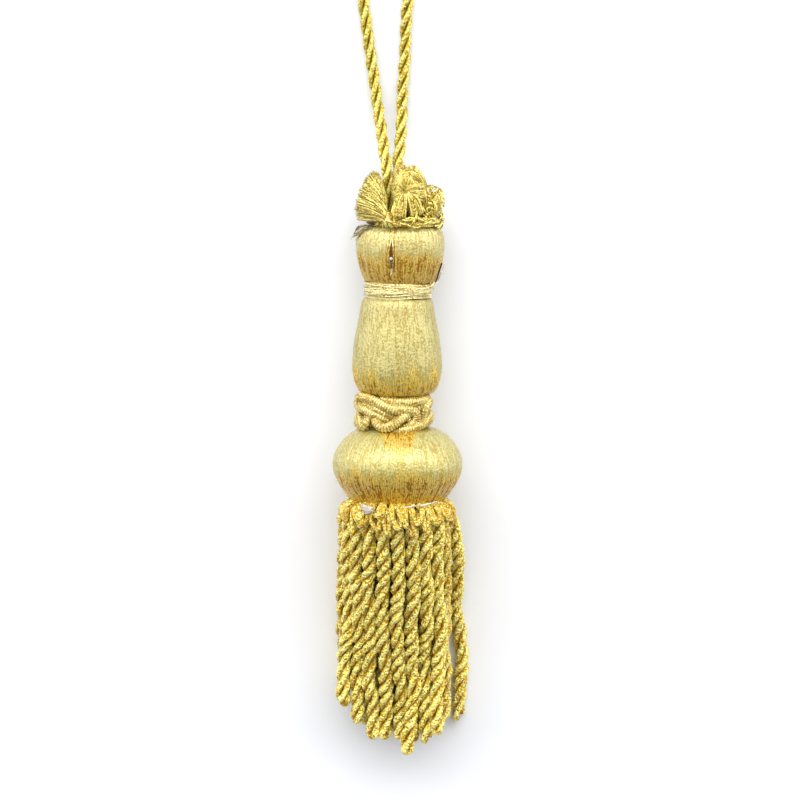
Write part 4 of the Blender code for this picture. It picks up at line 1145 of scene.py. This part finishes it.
def make_puff(mesh, puff, rng):
    """A closed puff of fine threads drawn in to a dimple."""
    middle = np.array((puff["across"], puff["along"], puff["up"]))
    halves = np.array((puff["half_across"], puff["half_along"], puff["half_up"]))
    profile = smooth_route(np.array(PUFF_PROFILE), PUFF_STEP)
    reach, height = profile[:, :1], profile[:, 1:]
    angles = angles_round(PUFF_COLUMNS_ROUND * puff["threads"])[None]
    lean = (PUFF_LEAN[0] * np.sin(2 * angles + rng.uniform(0, 6))
            + PUFF_LEAN[1] * np.sin(5 * angles + rng.uniform(0, 6)))
    bent = angles + lean * reach * (1 - 0.5 * reach)
    lumps = 1 + puff["uneven"] * (PUFF_LUMPS[0] * np.sin(3 * angles + rng.uniform(0, 6))
                                  + PUFF_LUMPS[1] * np.sin(5 * angles + 3 * reach)
                                  + PUFF_LUMPS[2] * np.sin(9 * angles + rng.uniform(0, 6)))
    heights = np.repeat(rng.uniform(0.3, 1, puff["threads"]), PUFF_COLUMNS_ROUND)[None]
    wave = 0.5 - 0.5 * np.cos(puff["threads"] * angles + 0 * reach)
    lift = PUFF_RELIEF * (wave * heights - 0.5) * np.clip(3 * reach, 0.2, 1)
    grown = reach * lumps
    shape = np.stack([grown * np.cos(bent), grown * np.sin(bent), height * (0.5 + 0.5 * lumps)], axis=2)
    outward = shape / np.maximum(np.linalg.norm(shape, axis=2, keepdims=True), 0.2)
    pulled = (1 - np.clip(reach, 0, 1))[..., None]
    dimple = np.array((puff["dimple_across"], puff["dimple_along"], 0.0)) * pulled
    surface = middle + dimple + halves * shape + lift[..., None] * outward
    world = in_head(surface.reshape(-1, 3)).reshape(surface.shape)
    size = halves[:2].mean()
    unrolled = np.stack(np.broadcast_arrays(size * np.cos(angles), size * np.sin(angles),
                                            lengths_along(profile)[:, None] * size), axis=2)
    roll_grid(mesh, world, unrolled, PUFF_VALLEY + (1 - PUFF_VALLEY) * wave * heights)


def make_tangle(mesh, rng):
    """One short curl at any place on the right lobe."""
    middle = np.array((rng.uniform(*TANGLE_ACROSS), rng.uniform(*TANGLE_ALONG), rng.uniform(*TANGLE_UP)))
    middle[2] -= TANGLE_FALL[0] * max(0.0, middle[0] - TANGLE_EDGE) ** TANGLE_FALL[1]
    reach, first, sweep = rng.uniform(*TANGLE_REACH), rng.uniform(0, 2 * math.pi), rng.uniform(*TANGLE_SWEEP)
    turns = first + np.linspace(0, sweep, TANGLE_KNOTS)
    longer, wavy = TANGLE_SHAPE
    arc = np.stack([reach * np.cos(turns), longer * reach * np.sin(turns), wavy * np.cos(2 * turns)], axis=1)
    points = in_head(smooth_route((middle + arc) * MM, CURL_STEP))
    plain_thread(mesh, points, rng.uniform(*TANGLE_RADIUS), FINE_SIDES, start=rng.uniform(0, 1))


def make_ruff():
    """The spread ends of the wrapping threads: fans, a puff with parted threads under it, and curls."""
    rng = np.random.default_rng(31)
    # The crown under the ruff is near-black, as painted shade.
    crown = wrap_mould(bare_mould(CROWN_OUTLINE, CROWN_ACROSS, CROWN_THREADS), rng)
    finish_piece("ruff_crown", crown, "shaded_thread", ["ruff"], HEAD_MATRIX)
    for sheet in records(SHEET_COLUMNS, RUFF_SHEETS):
        mesh = thread_bmesh()
        lay_sheet(mesh, sheet, rng)
        finish_piece(sheet["piece"], mesh, sheet["finish"], ["ruff"])
    for puff in records(PUFF_COLUMNS, PUFFS):
        mesh = thread_bmesh()
        make_puff(mesh, puff, rng)
        finish_piece(puff["piece"], mesh, "ruff_thread", ["ruff"])
    mesh = thread_bmesh()
    for curl in records(CURL_COLUMNS, RUFF_CURLS):
        points = in_head(smooth_route(np.array(curl["knots"]) * MM, CURL_STEP))
        plain_thread(mesh, points, curl["radius"] * MM, CURL_SIDES, start=rng.uniform(0, 1))
    for _ in range(TANGLE_COUNT):
        make_tangle(mesh, rng)
    finish_piece("ruff_curls", mesh, "ruff_thread", ["ruff"])


# --- Skirt: the strands lie as their solids do ---
HEADING_PLACE = -0.0112    # where the strands leave the heading, along the axis
STRAND_RADIUS = 0.00175
STRAND_PITCH = 0.0038      # between the middles of two strands that touch
STRAND_STEP = 0.00215      # from one place of a strand's route to the next
# In each ring: its strands, its radius, and how many steps round the first one lies.
STRAND_RINGS = ((22, 0.0130, 0.5), (13, 0.0087, 0.0))
STRAND_SLOPE = 0.36        # how steeply a strand falls to the floor, and after what run it does
STRAND_SLOPE_RUN = 0.012
SPREAD = 0.08              # how much wider the skirt grows at its top, and over what run
SPREAD_RUN = 0.006
EASE_PASSES = 40
EASE_SHARE = 0.4           # of what two strands lie too near, that each is moved in a pass
LAST_STEP = 0.4            # of a step: nearer to its end than this a route has no other place
SKIRT_LEFT = -0.0165
SKIRT_RIGHT = 0.0131
STRAY_NUMBER = 20          # the strand that strays to the right, and how far across it lies along the skirt
STRAY = ((-0.011, 0.0116), (-0.019, 0.0149), (-0.040, 0.0149), (-0.050, 0.0161), (-0.080, 0.0161))
# Where the strands end: across, and place along the axis.
HEM = (
    (-0.0146, -0.0668), (-0.0112, -0.0718), (-0.0068, -0.0768), (-0.0030, -0.0760), (0.0000, -0.0762),
    (0.0021, -0.0788), (0.0042, -0.0770), (0.0062, -0.0764), (0.0107, -0.0716), (0.0161, -0.0763),
)
HEM_TUCK = 0.0008          # how much shorter a strand is for each layer over it
SWAY = 0.00040             # how far a strand wanders to each side
SWAY_RUN = (0.024, 0.040)  # from one swing to the next
SWAY_FREE = 0.014          # how far down it hangs free
RIPPLE = (0.4, 5.2)        # a quicker swing: its size against the first one's, and its half turns in one run
PLY_TOP = (0.00027, 16)    # mesh step and sides of the strands that lie on top
PLY_UNDER = (0.00042, 11)  # and of those below
# In pitches: how near across, and how much higher, a strand is that covers another.
COVER_ACROSS = 0.75
COVER_UP = 0.30
STRAND_PLIES = 3
STRAND_GROUPS = 5          # pieces that the strands are shared out to
PLY_RADIUS = 0.00102
PLY_ORBIT = 0.00102        # from the strand's middle to a ply's
PLY_LAY = 0.0133
GROOVE_SHADE = 0.15        # painted shade in the groove beside its neighbour, and painted highlight on its crest: how a ply shows there
CREST_SHADE = 1.30
UNDER_SHADE = 0.74         # and how much less, as painted shade, a strand shows that lies under others
END_LOOP = 0.0016          # how far the turn at the end reaches past the last place of the strand's middle
END_BULGE = 0.9            # how round the turn is
TURN_POINTS = 8
LAY_SPREAD = (0.95, 1.06)  # a strand's lay against the usual one
LAY_WANDER = (0.35, 0.019)     # how far its twist runs ahead, in radians, and over what length
ORBIT_WANDER = (0.10, 0.013)   # how much wider it gets, and over what length
PLY_SWELL = ((0.07, 0.0011), (0.05, 0.0005))   # how much thicker a ply gets, over six times what length
LUMP_SHADE = (0.70, 0.30)  # painted shade: how a ply shows between the lumps of its crimp, and how much more on them
CRUMPLE = 0.00060          # from one curl of the crimped thread to the next along a ply
CRUMPLES_ROUND = 8         # and how many lie round it
CRUMPLE_RELIEF = 0.00026
# A strand's start under the ball: radius, place along the axis.
TUCK = ((0.0088, -0.0086), (0.0112, -0.0100))
CURL_PLY = 0.00078
CURL_FINENESS = (0.00026, 16)
CURL_WIDTH = (0.7, 1.25)   # how much the short loops differ in width, drop, radius and brightness, the last as painted shade
CURL_DROP = (0.5, 1.5)
CURL_GIRTH = (0.9, 1.15)
CURL_SHADE = (0.25, 1.0)
CURL_LEAN = 0.07           # how far their middles lie aside, in radians
CURL_UNEVEN = 0.00015
# The way a short loop takes: on its left edge's side (0) or its right one's (1), the shares of that edge's
# angle and of the middle's, how much further out, the place along the axis, and the share of its drop.
CURL_PATH = (
    (0, 1.0, 0.0, -0.0040, -0.0086, 0.0), (0, 1.0, 0.0, -0.0007, -0.0104, 0.0),
    (0, 0.8, 0.2, 0.0000, -0.0104, 0.6), (0, 0.0, 1.0, 0.0002, -0.0104, 1.0),
    (1, 0.8, 0.2, 0.0000, -0.0104, 0.55), (1, 1.0, 0.0, -0.0006, -0.0106, 0.0),
    (1, 1.0, 0.0, -0.0040, -0.0088, 0.0),
)
# Short loops that stand out between the ball and the strands: degrees from the top, width in degrees, and in
# millimetres the drop below the heading and how far out.
TOP_LOOPS = (
    (-80, 9, 4.2, 14.9), (-66, 10, 3.4, 15.2), (-55, 7, 4.6, 15.1), (-43, 10, 2.8, 15.3),
    (-33, 7, 4.4, 15.3), (-22, 11, 3.2, 15.5), (-11, 7, 4.8, 15.3), (0, 11, 3.4, 15.6),
    (10, 7, 5.0, 15.3), (20, 9, 3.0, 15.5), (29, 7, 4.6, 15.3), (39, 10, 3.4, 15.3), (49, 7, 4.8, 15.1),
    (60, 9, 3.6, 15.0), (71, 8, 4.6, 14.8), (84, 9, 4.2, 14.6), (-94, 9, 3.8, 14.6), (98, 9, 4.0, 14.4),
    (-110, 10, 3.8, 14.4), (114, 10, 3.8, 14.2), (-16, 6, 2.2, 15.9), (5, 6, 2.4, 15.9),
    (-38, 6, 2.4, 15.7), (34, 6, 2.2, 15.7), (-60, 6, 2.4, 15.4), (54, 6, 2.4, 15.4),
    (-130, 12, 3.8, 14.2), (132, 12, 3.8, 14.2), (-155, 12, 3.8, 14.2), (158, 12, 3.8, 14.2),
)


def strand_roots():
    """Where each strand leaves the heading, as world points: the outer ring first."""
    roots = []
    for count, radius, first in STRAND_RINGS:
        for i in range(count):
            angle = 2 * math.pi * (i + first) / count
            roots.append((radius * math.cos(angle), HEADING_PLACE, radius * math.sin(angle)))
    return in_head(roots)


def ease_apart(places, stray_across):
    """Move the strands' middles, across and up, until none is nearer to another than the pitch."""
    for _ in range(EASE_PASSES):
        apart = places[:, None] - places[None]
        distance = np.hypot(apart[..., 0], apart[..., 1]) + np.eye(len(places))
        short = np.clip(STRAND_PITCH - distance, 0.0, None) * (1 - np.eye(len(places)))
        places = places + EASE_SHARE * (apart / distance[..., None] * short[..., None]).sum(axis=1)
        places[:, 0] = np.clip(places[:, 0], SKIRT_LEFT + STRAND_RADIUS, SKIRT_RIGHT - STRAND_RADIUS)
        places[STRAY_NUMBER, 0] = stray_across
        places[:, 1] = np.maximum(places[:, 1], STRAND_RADIUS)
    return places


def strand_routes():
    """The middle line of each strand: it falls from the heading until the floor or the others hold it."""
    roots = strand_roots()
    places = roots[:, [0, 2]].copy()
    alongs = roots[:, 1].copy()
    routes = [[tuple(root)] for root in roots]
    last = BALL_Y + min(end for _, end in HEM) - STRAND_STEP
    travelled = 0.0
    while alongs.max() > last:
        travelled += STRAND_STEP
        alongs = alongs - STRAND_STEP
        places[:, 1] -= STRAND_STEP * STRAND_SLOPE * min(1.0, travelled / STRAND_SLOPE_RUN)
        if travelled <= SPREAD_RUN:
            places[:, 0] = BALL_X + (places[:, 0] - BALL_X) * (1 + SPREAD * STRAND_STEP / SPREAD_RUN)
        places = ease_apart(places, at(STRAY, alongs[STRAY_NUMBER] - BALL_Y))
        for route, (across, up), along in zip(routes, places, alongs):
            route.append((across, along, up))
    return [np.array(route) for route in routes]


def hemmed(route, top):
    """A route eased once more and cut at the hem: a strand under others is a little shorter."""
    eased = route.copy()
    eased[1:-1] = (route[:-2] + 2 * route[1:-1] + route[2:]) / 4
    eased[:, 2] = np.maximum(eased[:, 2], STRAND_RADIUS)
    layers_down = max(0.0, (top - eased[-1, 2]) / STRAND_PITCH)
    end = BALL_Y + at(HEM, eased[-1, 0]) + HEM_TUCK * layers_down + END_LOOP
    kept = eased[eased[:, 1] > end + LAST_STEP * STRAND_STEP]
    last = [float(np.interp(-end, -eased[:, 1], eased[:, axis])) for axis in range(3)]
    return np.concatenate([kept, [last]])


def tucked(route, number):
    """A route that starts under the ball, inside the heading."""
    ring = 0 if number < STRAND_RINGS[0][0] else 1
    count, radius, first = STRAND_RINGS[ring]
    angle = 2 * math.pi * (number - ring * STRAND_RINGS[0][0] + first) / count
    starts = []
    for inner, along in TUCK:
        reach = min(inner, radius)
        starts.append((reach * math.cos(angle), along, reach * math.sin(angle)))
    return np.concatenate([in_head(starts), route])


def swayed(route, rng):
    """A route that wanders from side to side on its way down."""
    travelled = lengths_along(route)
    held = np.clip(travelled / SWAY_FREE, 0, 1)
    first, second = rng.uniform(0, 2 * math.pi, 2)
    run = rng.uniform(*SWAY_RUN)
    moved = route.copy()
    moved[:, 0] += SWAY * held * np.sin(2 * math.pi * travelled / run + first)
    moved[:, 0] += RIPPLE[0] * SWAY * held * np.sin(RIPPLE[1] * math.pi * travelled / run + second)
    return moved


def softened(share):
    """A share, 0 to 1, that leaves and comes in level."""
    return share * share * (3 - 2 * share)


def crumpled(travelled, sides, rng):
    """Random lumps of crimped thread over a ply, 0 to 1, for each place along it and each side."""
    rows = int(travelled[-1] / CRUMPLE) + 3
    lumps = rng.uniform(0, 1, (rows, CRUMPLES_ROUND))
    raised = np.add.outer(np.arange(rows), np.arange(CRUMPLES_ROUND)) % 2 == 0
    lumps = np.where(raised, lumps ** 0.5, lumps ** 2)
    down = travelled / CRUMPLE
    row = down.astype(int)
    blend = softened((down - row)[:, None])
    round_place = np.arange(sides) * CRUMPLES_ROUND / sides
    column = round_place.astype(int)
    mix = softened((round_place - column)[None])
    beside = (column + 1) % CRUMPLES_ROUND
    upper = lumps[row][:, column] * (1 - mix) + lumps[row][:, beside] * mix
    lower = lumps[row + 1][:, column] * (1 - mix) + lumps[row + 1][:, beside] * mix
    return upper * (1 - blend) + lower * blend


def bullion_ply(mesh, ply, radius, sides, rng, outward=None, shade=1.0):
    """One ply of crimped thread with closed ends, with painted shade facing away from outward and painted
    highlight on its crest.
    """
    travelled = lengths_along(ply)
    lumps = crumpled(travelled, sides, rng)
    (slow, slow_length), (quick, quick_length) = PLY_SWELL
    swell = (1 + slow * np.sin(travelled / slow_length + rng.uniform(0, 6))
             + quick * np.sin(travelled / quick_length))
    radii = (radius * swell[:, None] - CRUMPLE_RELIEF * (1 - lumps)) * rounded_ends(ply, radius)[:, None]
    frames = frames_of(ply)
    shown = shade * (LUMP_SHADE[0] + LUMP_SHADE[1] * lumps)
    if outward is not None:
        shown = shown * (GROOVE_SHADE + (CREST_SHADE - GROOVE_SHADE) * crest_share(frames, outward, sides))
    roll_tube(mesh, ply, frames, radii, shown, start=rng.uniform(0, 1))


def bullion_strand(mesh, route, fineness, rng):
    """A twisted strand: two plies are one thread that turns at the hem, and a third ends beside the turn."""
    step, round_sides = fineness
    shade = UNDER_SHADE if fineness == PLY_UNDER else 1.0
    points = smooth_route(route, step)
    sides, overs = frames_of(points)
    along = lengths_along(points)
    lay = PLY_LAY * rng.uniform(*LAY_SPREAD)
    ahead_by, wander = LAY_WANDER
    turn = (2 * math.pi * along / lay + rng.uniform(0, 2 * math.pi)
            + ahead_by * np.sin(2 * math.pi * along / wander + rng.uniform(0, 6)))[:, None]
    wider_by, wander = ORBIT_WANDER
    orbit = PLY_ORBIT * (1 + wider_by * np.sin(2 * math.pi * along / wander + rng.uniform(0, 6)))[:, None]
    there, back, third = (np.cos(turn + 2 * math.pi * ply / STRAND_PLIES) * sides
                          + np.sin(turn + 2 * math.pi * ply / STRAND_PLIES) * overs
                          for ply in range(STRAND_PLIES))
    ahead = tangents_of(points)[-1]
    middle, half = (there[-1] + back[-1]) / 2, (there[-1] - back[-1]) / 2
    bends = np.linspace(0, math.pi, TURN_POINTS)[1:-1, None]
    loop = points[-1] + orbit[-1] * (middle + np.cos(bends) * half + END_BULGE * np.sin(bends) * ahead)
    doubled = np.concatenate([points + orbit * there, loop, (points + orbit * back)[::-1]])
    outward = np.concatenate([there, unit(loop - points[-1]), back[::-1]])
    bullion_ply(mesh, doubled, PLY_RADIUS, round_sides, rng, outward, shade)
    bullion_ply(mesh, points + orbit * third, PLY_RADIUS, round_sides, rng, third, shade)


def covered(number, routes):
    """Whether another strand lies over this one, half way down."""
    own = routes[number][len(routes[number]) // 2]
    for other, route in enumerate(routes):
        beside = abs(route[len(route) // 2, 0] - own[0]) < COVER_ACROSS * STRAND_PITCH
        higher = route[len(route) // 2, 2] - own[2] > COVER_UP * STRAND_PITCH
        if other != number and beside and higher:
            return True
    return False


def make_top_loops(mesh, rng):
    """The messy short loops at the top of the strands."""
    for degrees, width, drop, out in TOP_LOOPS:
        width *= rng.uniform(*CURL_WIDTH)
        edges = math.radians(degrees - width / 2), math.radians(degrees + width / 2)
        middle = (edges[0] + edges[1]) / 2 + rng.normal(0, CURL_LEAN)
        drop, out = drop * rng.uniform(*CURL_DROP) * MM, out * MM
        knots = []
        for edge, of_edge, of_middle, further, place, of_drop in CURL_PATH:
            turn, reach = edges[edge] * of_edge + middle * of_middle, out + further
            knots.append((reach * math.sin(turn), place - of_drop * drop, reach * math.cos(turn)))
        step, sides = CURL_FINENESS
        points = smooth_route(in_head(knots) + rng.normal(0, CURL_UNEVEN, (len(knots), 3)), step)
        radius = CURL_PLY * rng.uniform(*CURL_GIRTH)
        bullion_ply(mesh, points, radius, sides, rng, shade=rng.uniform(*CURL_SHADE))


def make_skirt():
    """The bullion strands, in groups so that no piece grows too heavy."""
    rng = np.random.default_rng(41)
    routes = strand_routes()
    top = max(route[-1, 2] for route in routes)
    meshes = [thread_bmesh() for _ in range(STRAND_GROUPS)]
    for number, route in enumerate(routes):
        fineness = PLY_UNDER if covered(number, routes) else PLY_TOP
        hung = swayed(hemmed(route, top), rng)
        bullion_strand(meshes[number % STRAND_GROUPS], tucked(hung, number), fineness, rng)
    for group, mesh in enumerate(meshes):
        finish_piece(f"bullion_strands_{group + 1}", mesh, "bullion", ["skirt"])
    mesh = thread_bmesh()
    make_top_loops(mesh, rng)
    finish_piece("bullion_top_loops", mesh, "bullion", ["skirt"])


# --- Heading and loose thread ---
HEADING_OUTLINE = (
    (-0.0088, 0.0060), (-0.0090, 0.0100), (-0.0100, 0.0112), (-0.0114, 0.0108), (-0.0122, 0.0060),
)
LOOSE_COLUMNS = ("name", "finish", "slot", "radius", "knots")
LOOSE_THREADS = (
    ("bulb_loose_end", "pale_cotton", "neck_binding", 0.00022,
     ((8.9, 47.2, 3.4), (10.2, 47.8, 2.8), (11.2, 50.2, 3.0), (12.2, 52.6, 3.4))),
    # A dark thread beside the pale loose end: its painted shadow.
    ("bulb_loose_end_dark", "shaded_thread", "neck_binding", 0.00020,
     ((9.0, 47.0, 3.0), (10.0, 48.2, 2.6), (10.7, 50.4, 2.8), (11.5, 52.8, 3.0))),
    ("bulb_slit_left", "neck_thread", "upper_bulb", 0.00015,
     ((-1.50, 59.9, 11.20), (-2.00, 57.4, 11.60), (-2.25, 55.0, 11.35), (-1.85, 52.4, 10.85),
      (-1.45, 50.2, 10.30))),
    ("bulb_slit_right", "neck_thread", "upper_bulb", 0.00017,
     ((-1.40, 59.9, 11.20), (-1.15, 57.4, 11.70), (-0.95, 55.0, 11.45), (-1.25, 52.6, 10.95),
      (-1.75, 49.8, 10.20))),
    # A pale bead: a painted glint in the slit.
    ("bulb_slit_bead", "pale_cotton", "upper_bulb", 0.00050,
     ((-1.60, 54.75, 11.25), (-1.60, 54.35, 11.35), (-1.58, 53.95, 11.20))),
    # A dark thread in the slit: painted shade.
    ("bulb_slit_dark", "shaded_thread", "upper_bulb", 0.00030,
     ((-1.66, 53.5, 11.16), (-1.66, 52.7, 11.02), (-1.64, 51.8, 10.80))),
    ("skirt_stitch", "pale_cotton", "skirt", 0.00020,
     ((1.6, -9.3, 14.4), (4.0, -9.0, 14.3), (6.6, -8.8, 13.3), (8.6, -8.5, 12.0), (10.2, -8.2, 10.4))),
)
HEADING_THREADS = 90
LOOSE_STEP = 0.0002
LOOSE_SIDES = 8
# Laid as the ruff's sheets are: the columns are theirs from "threads" on.
COTTON_WAD = (9, 2, 0.35, 0.28, 0.22, 0.2, (
    ((-9.2, -8.6, 12.6), (-8.0, -9.2, 13.9), (-6.4, -9.4, 14.6)),
    ((-9.0, -10.6, 12.6), (-7.8, -10.8, 14.0), (-6.6, -10.4, 14.8))))


def make_heading():
    """The rolled tape that the strands are sewn to, under the ball, near-black as painted shade."""
    mesh = wrap_mould(bare_mould(HEADING_OUTLINE, 0.0, HEADING_THREADS), np.random.default_rng(51))
    finish_piece("skirt_heading", mesh, "shaded_thread", ["skirt"], HEAD_MATRIX)


def make_loose_threads():
    """The loose ends that stand off the wrapping, a painted shadow beside one, a painted glint and shade in
    the slit, and a wisp of cotton over the heading.
    """
    for loose in records(LOOSE_COLUMNS, LOOSE_THREADS):
        mesh = thread_bmesh()
        points = in_head(smooth_route(np.array(loose["knots"]) * MM, LOOSE_STEP))
        plain_thread(mesh, points, loose["radius"], LOOSE_SIDES)
        finish_piece(loose["name"], mesh, loose["finish"])
    mesh = thread_bmesh()
    lay_sheet(mesh, dict(zip(SHEET_COLUMNS[2:], COTTON_WAD)), np.random.default_rng(61))
    finish_piece("skirt_cotton", mesh, "pale_cotton")


make_camera()
make_loop()
make_floor()
make_lights()
make_moulds()
make_neck_binding()
make_ruff_binding()
make_collar()
make_ruff()
make_heading()
make_skirt()
make_loose_threads()
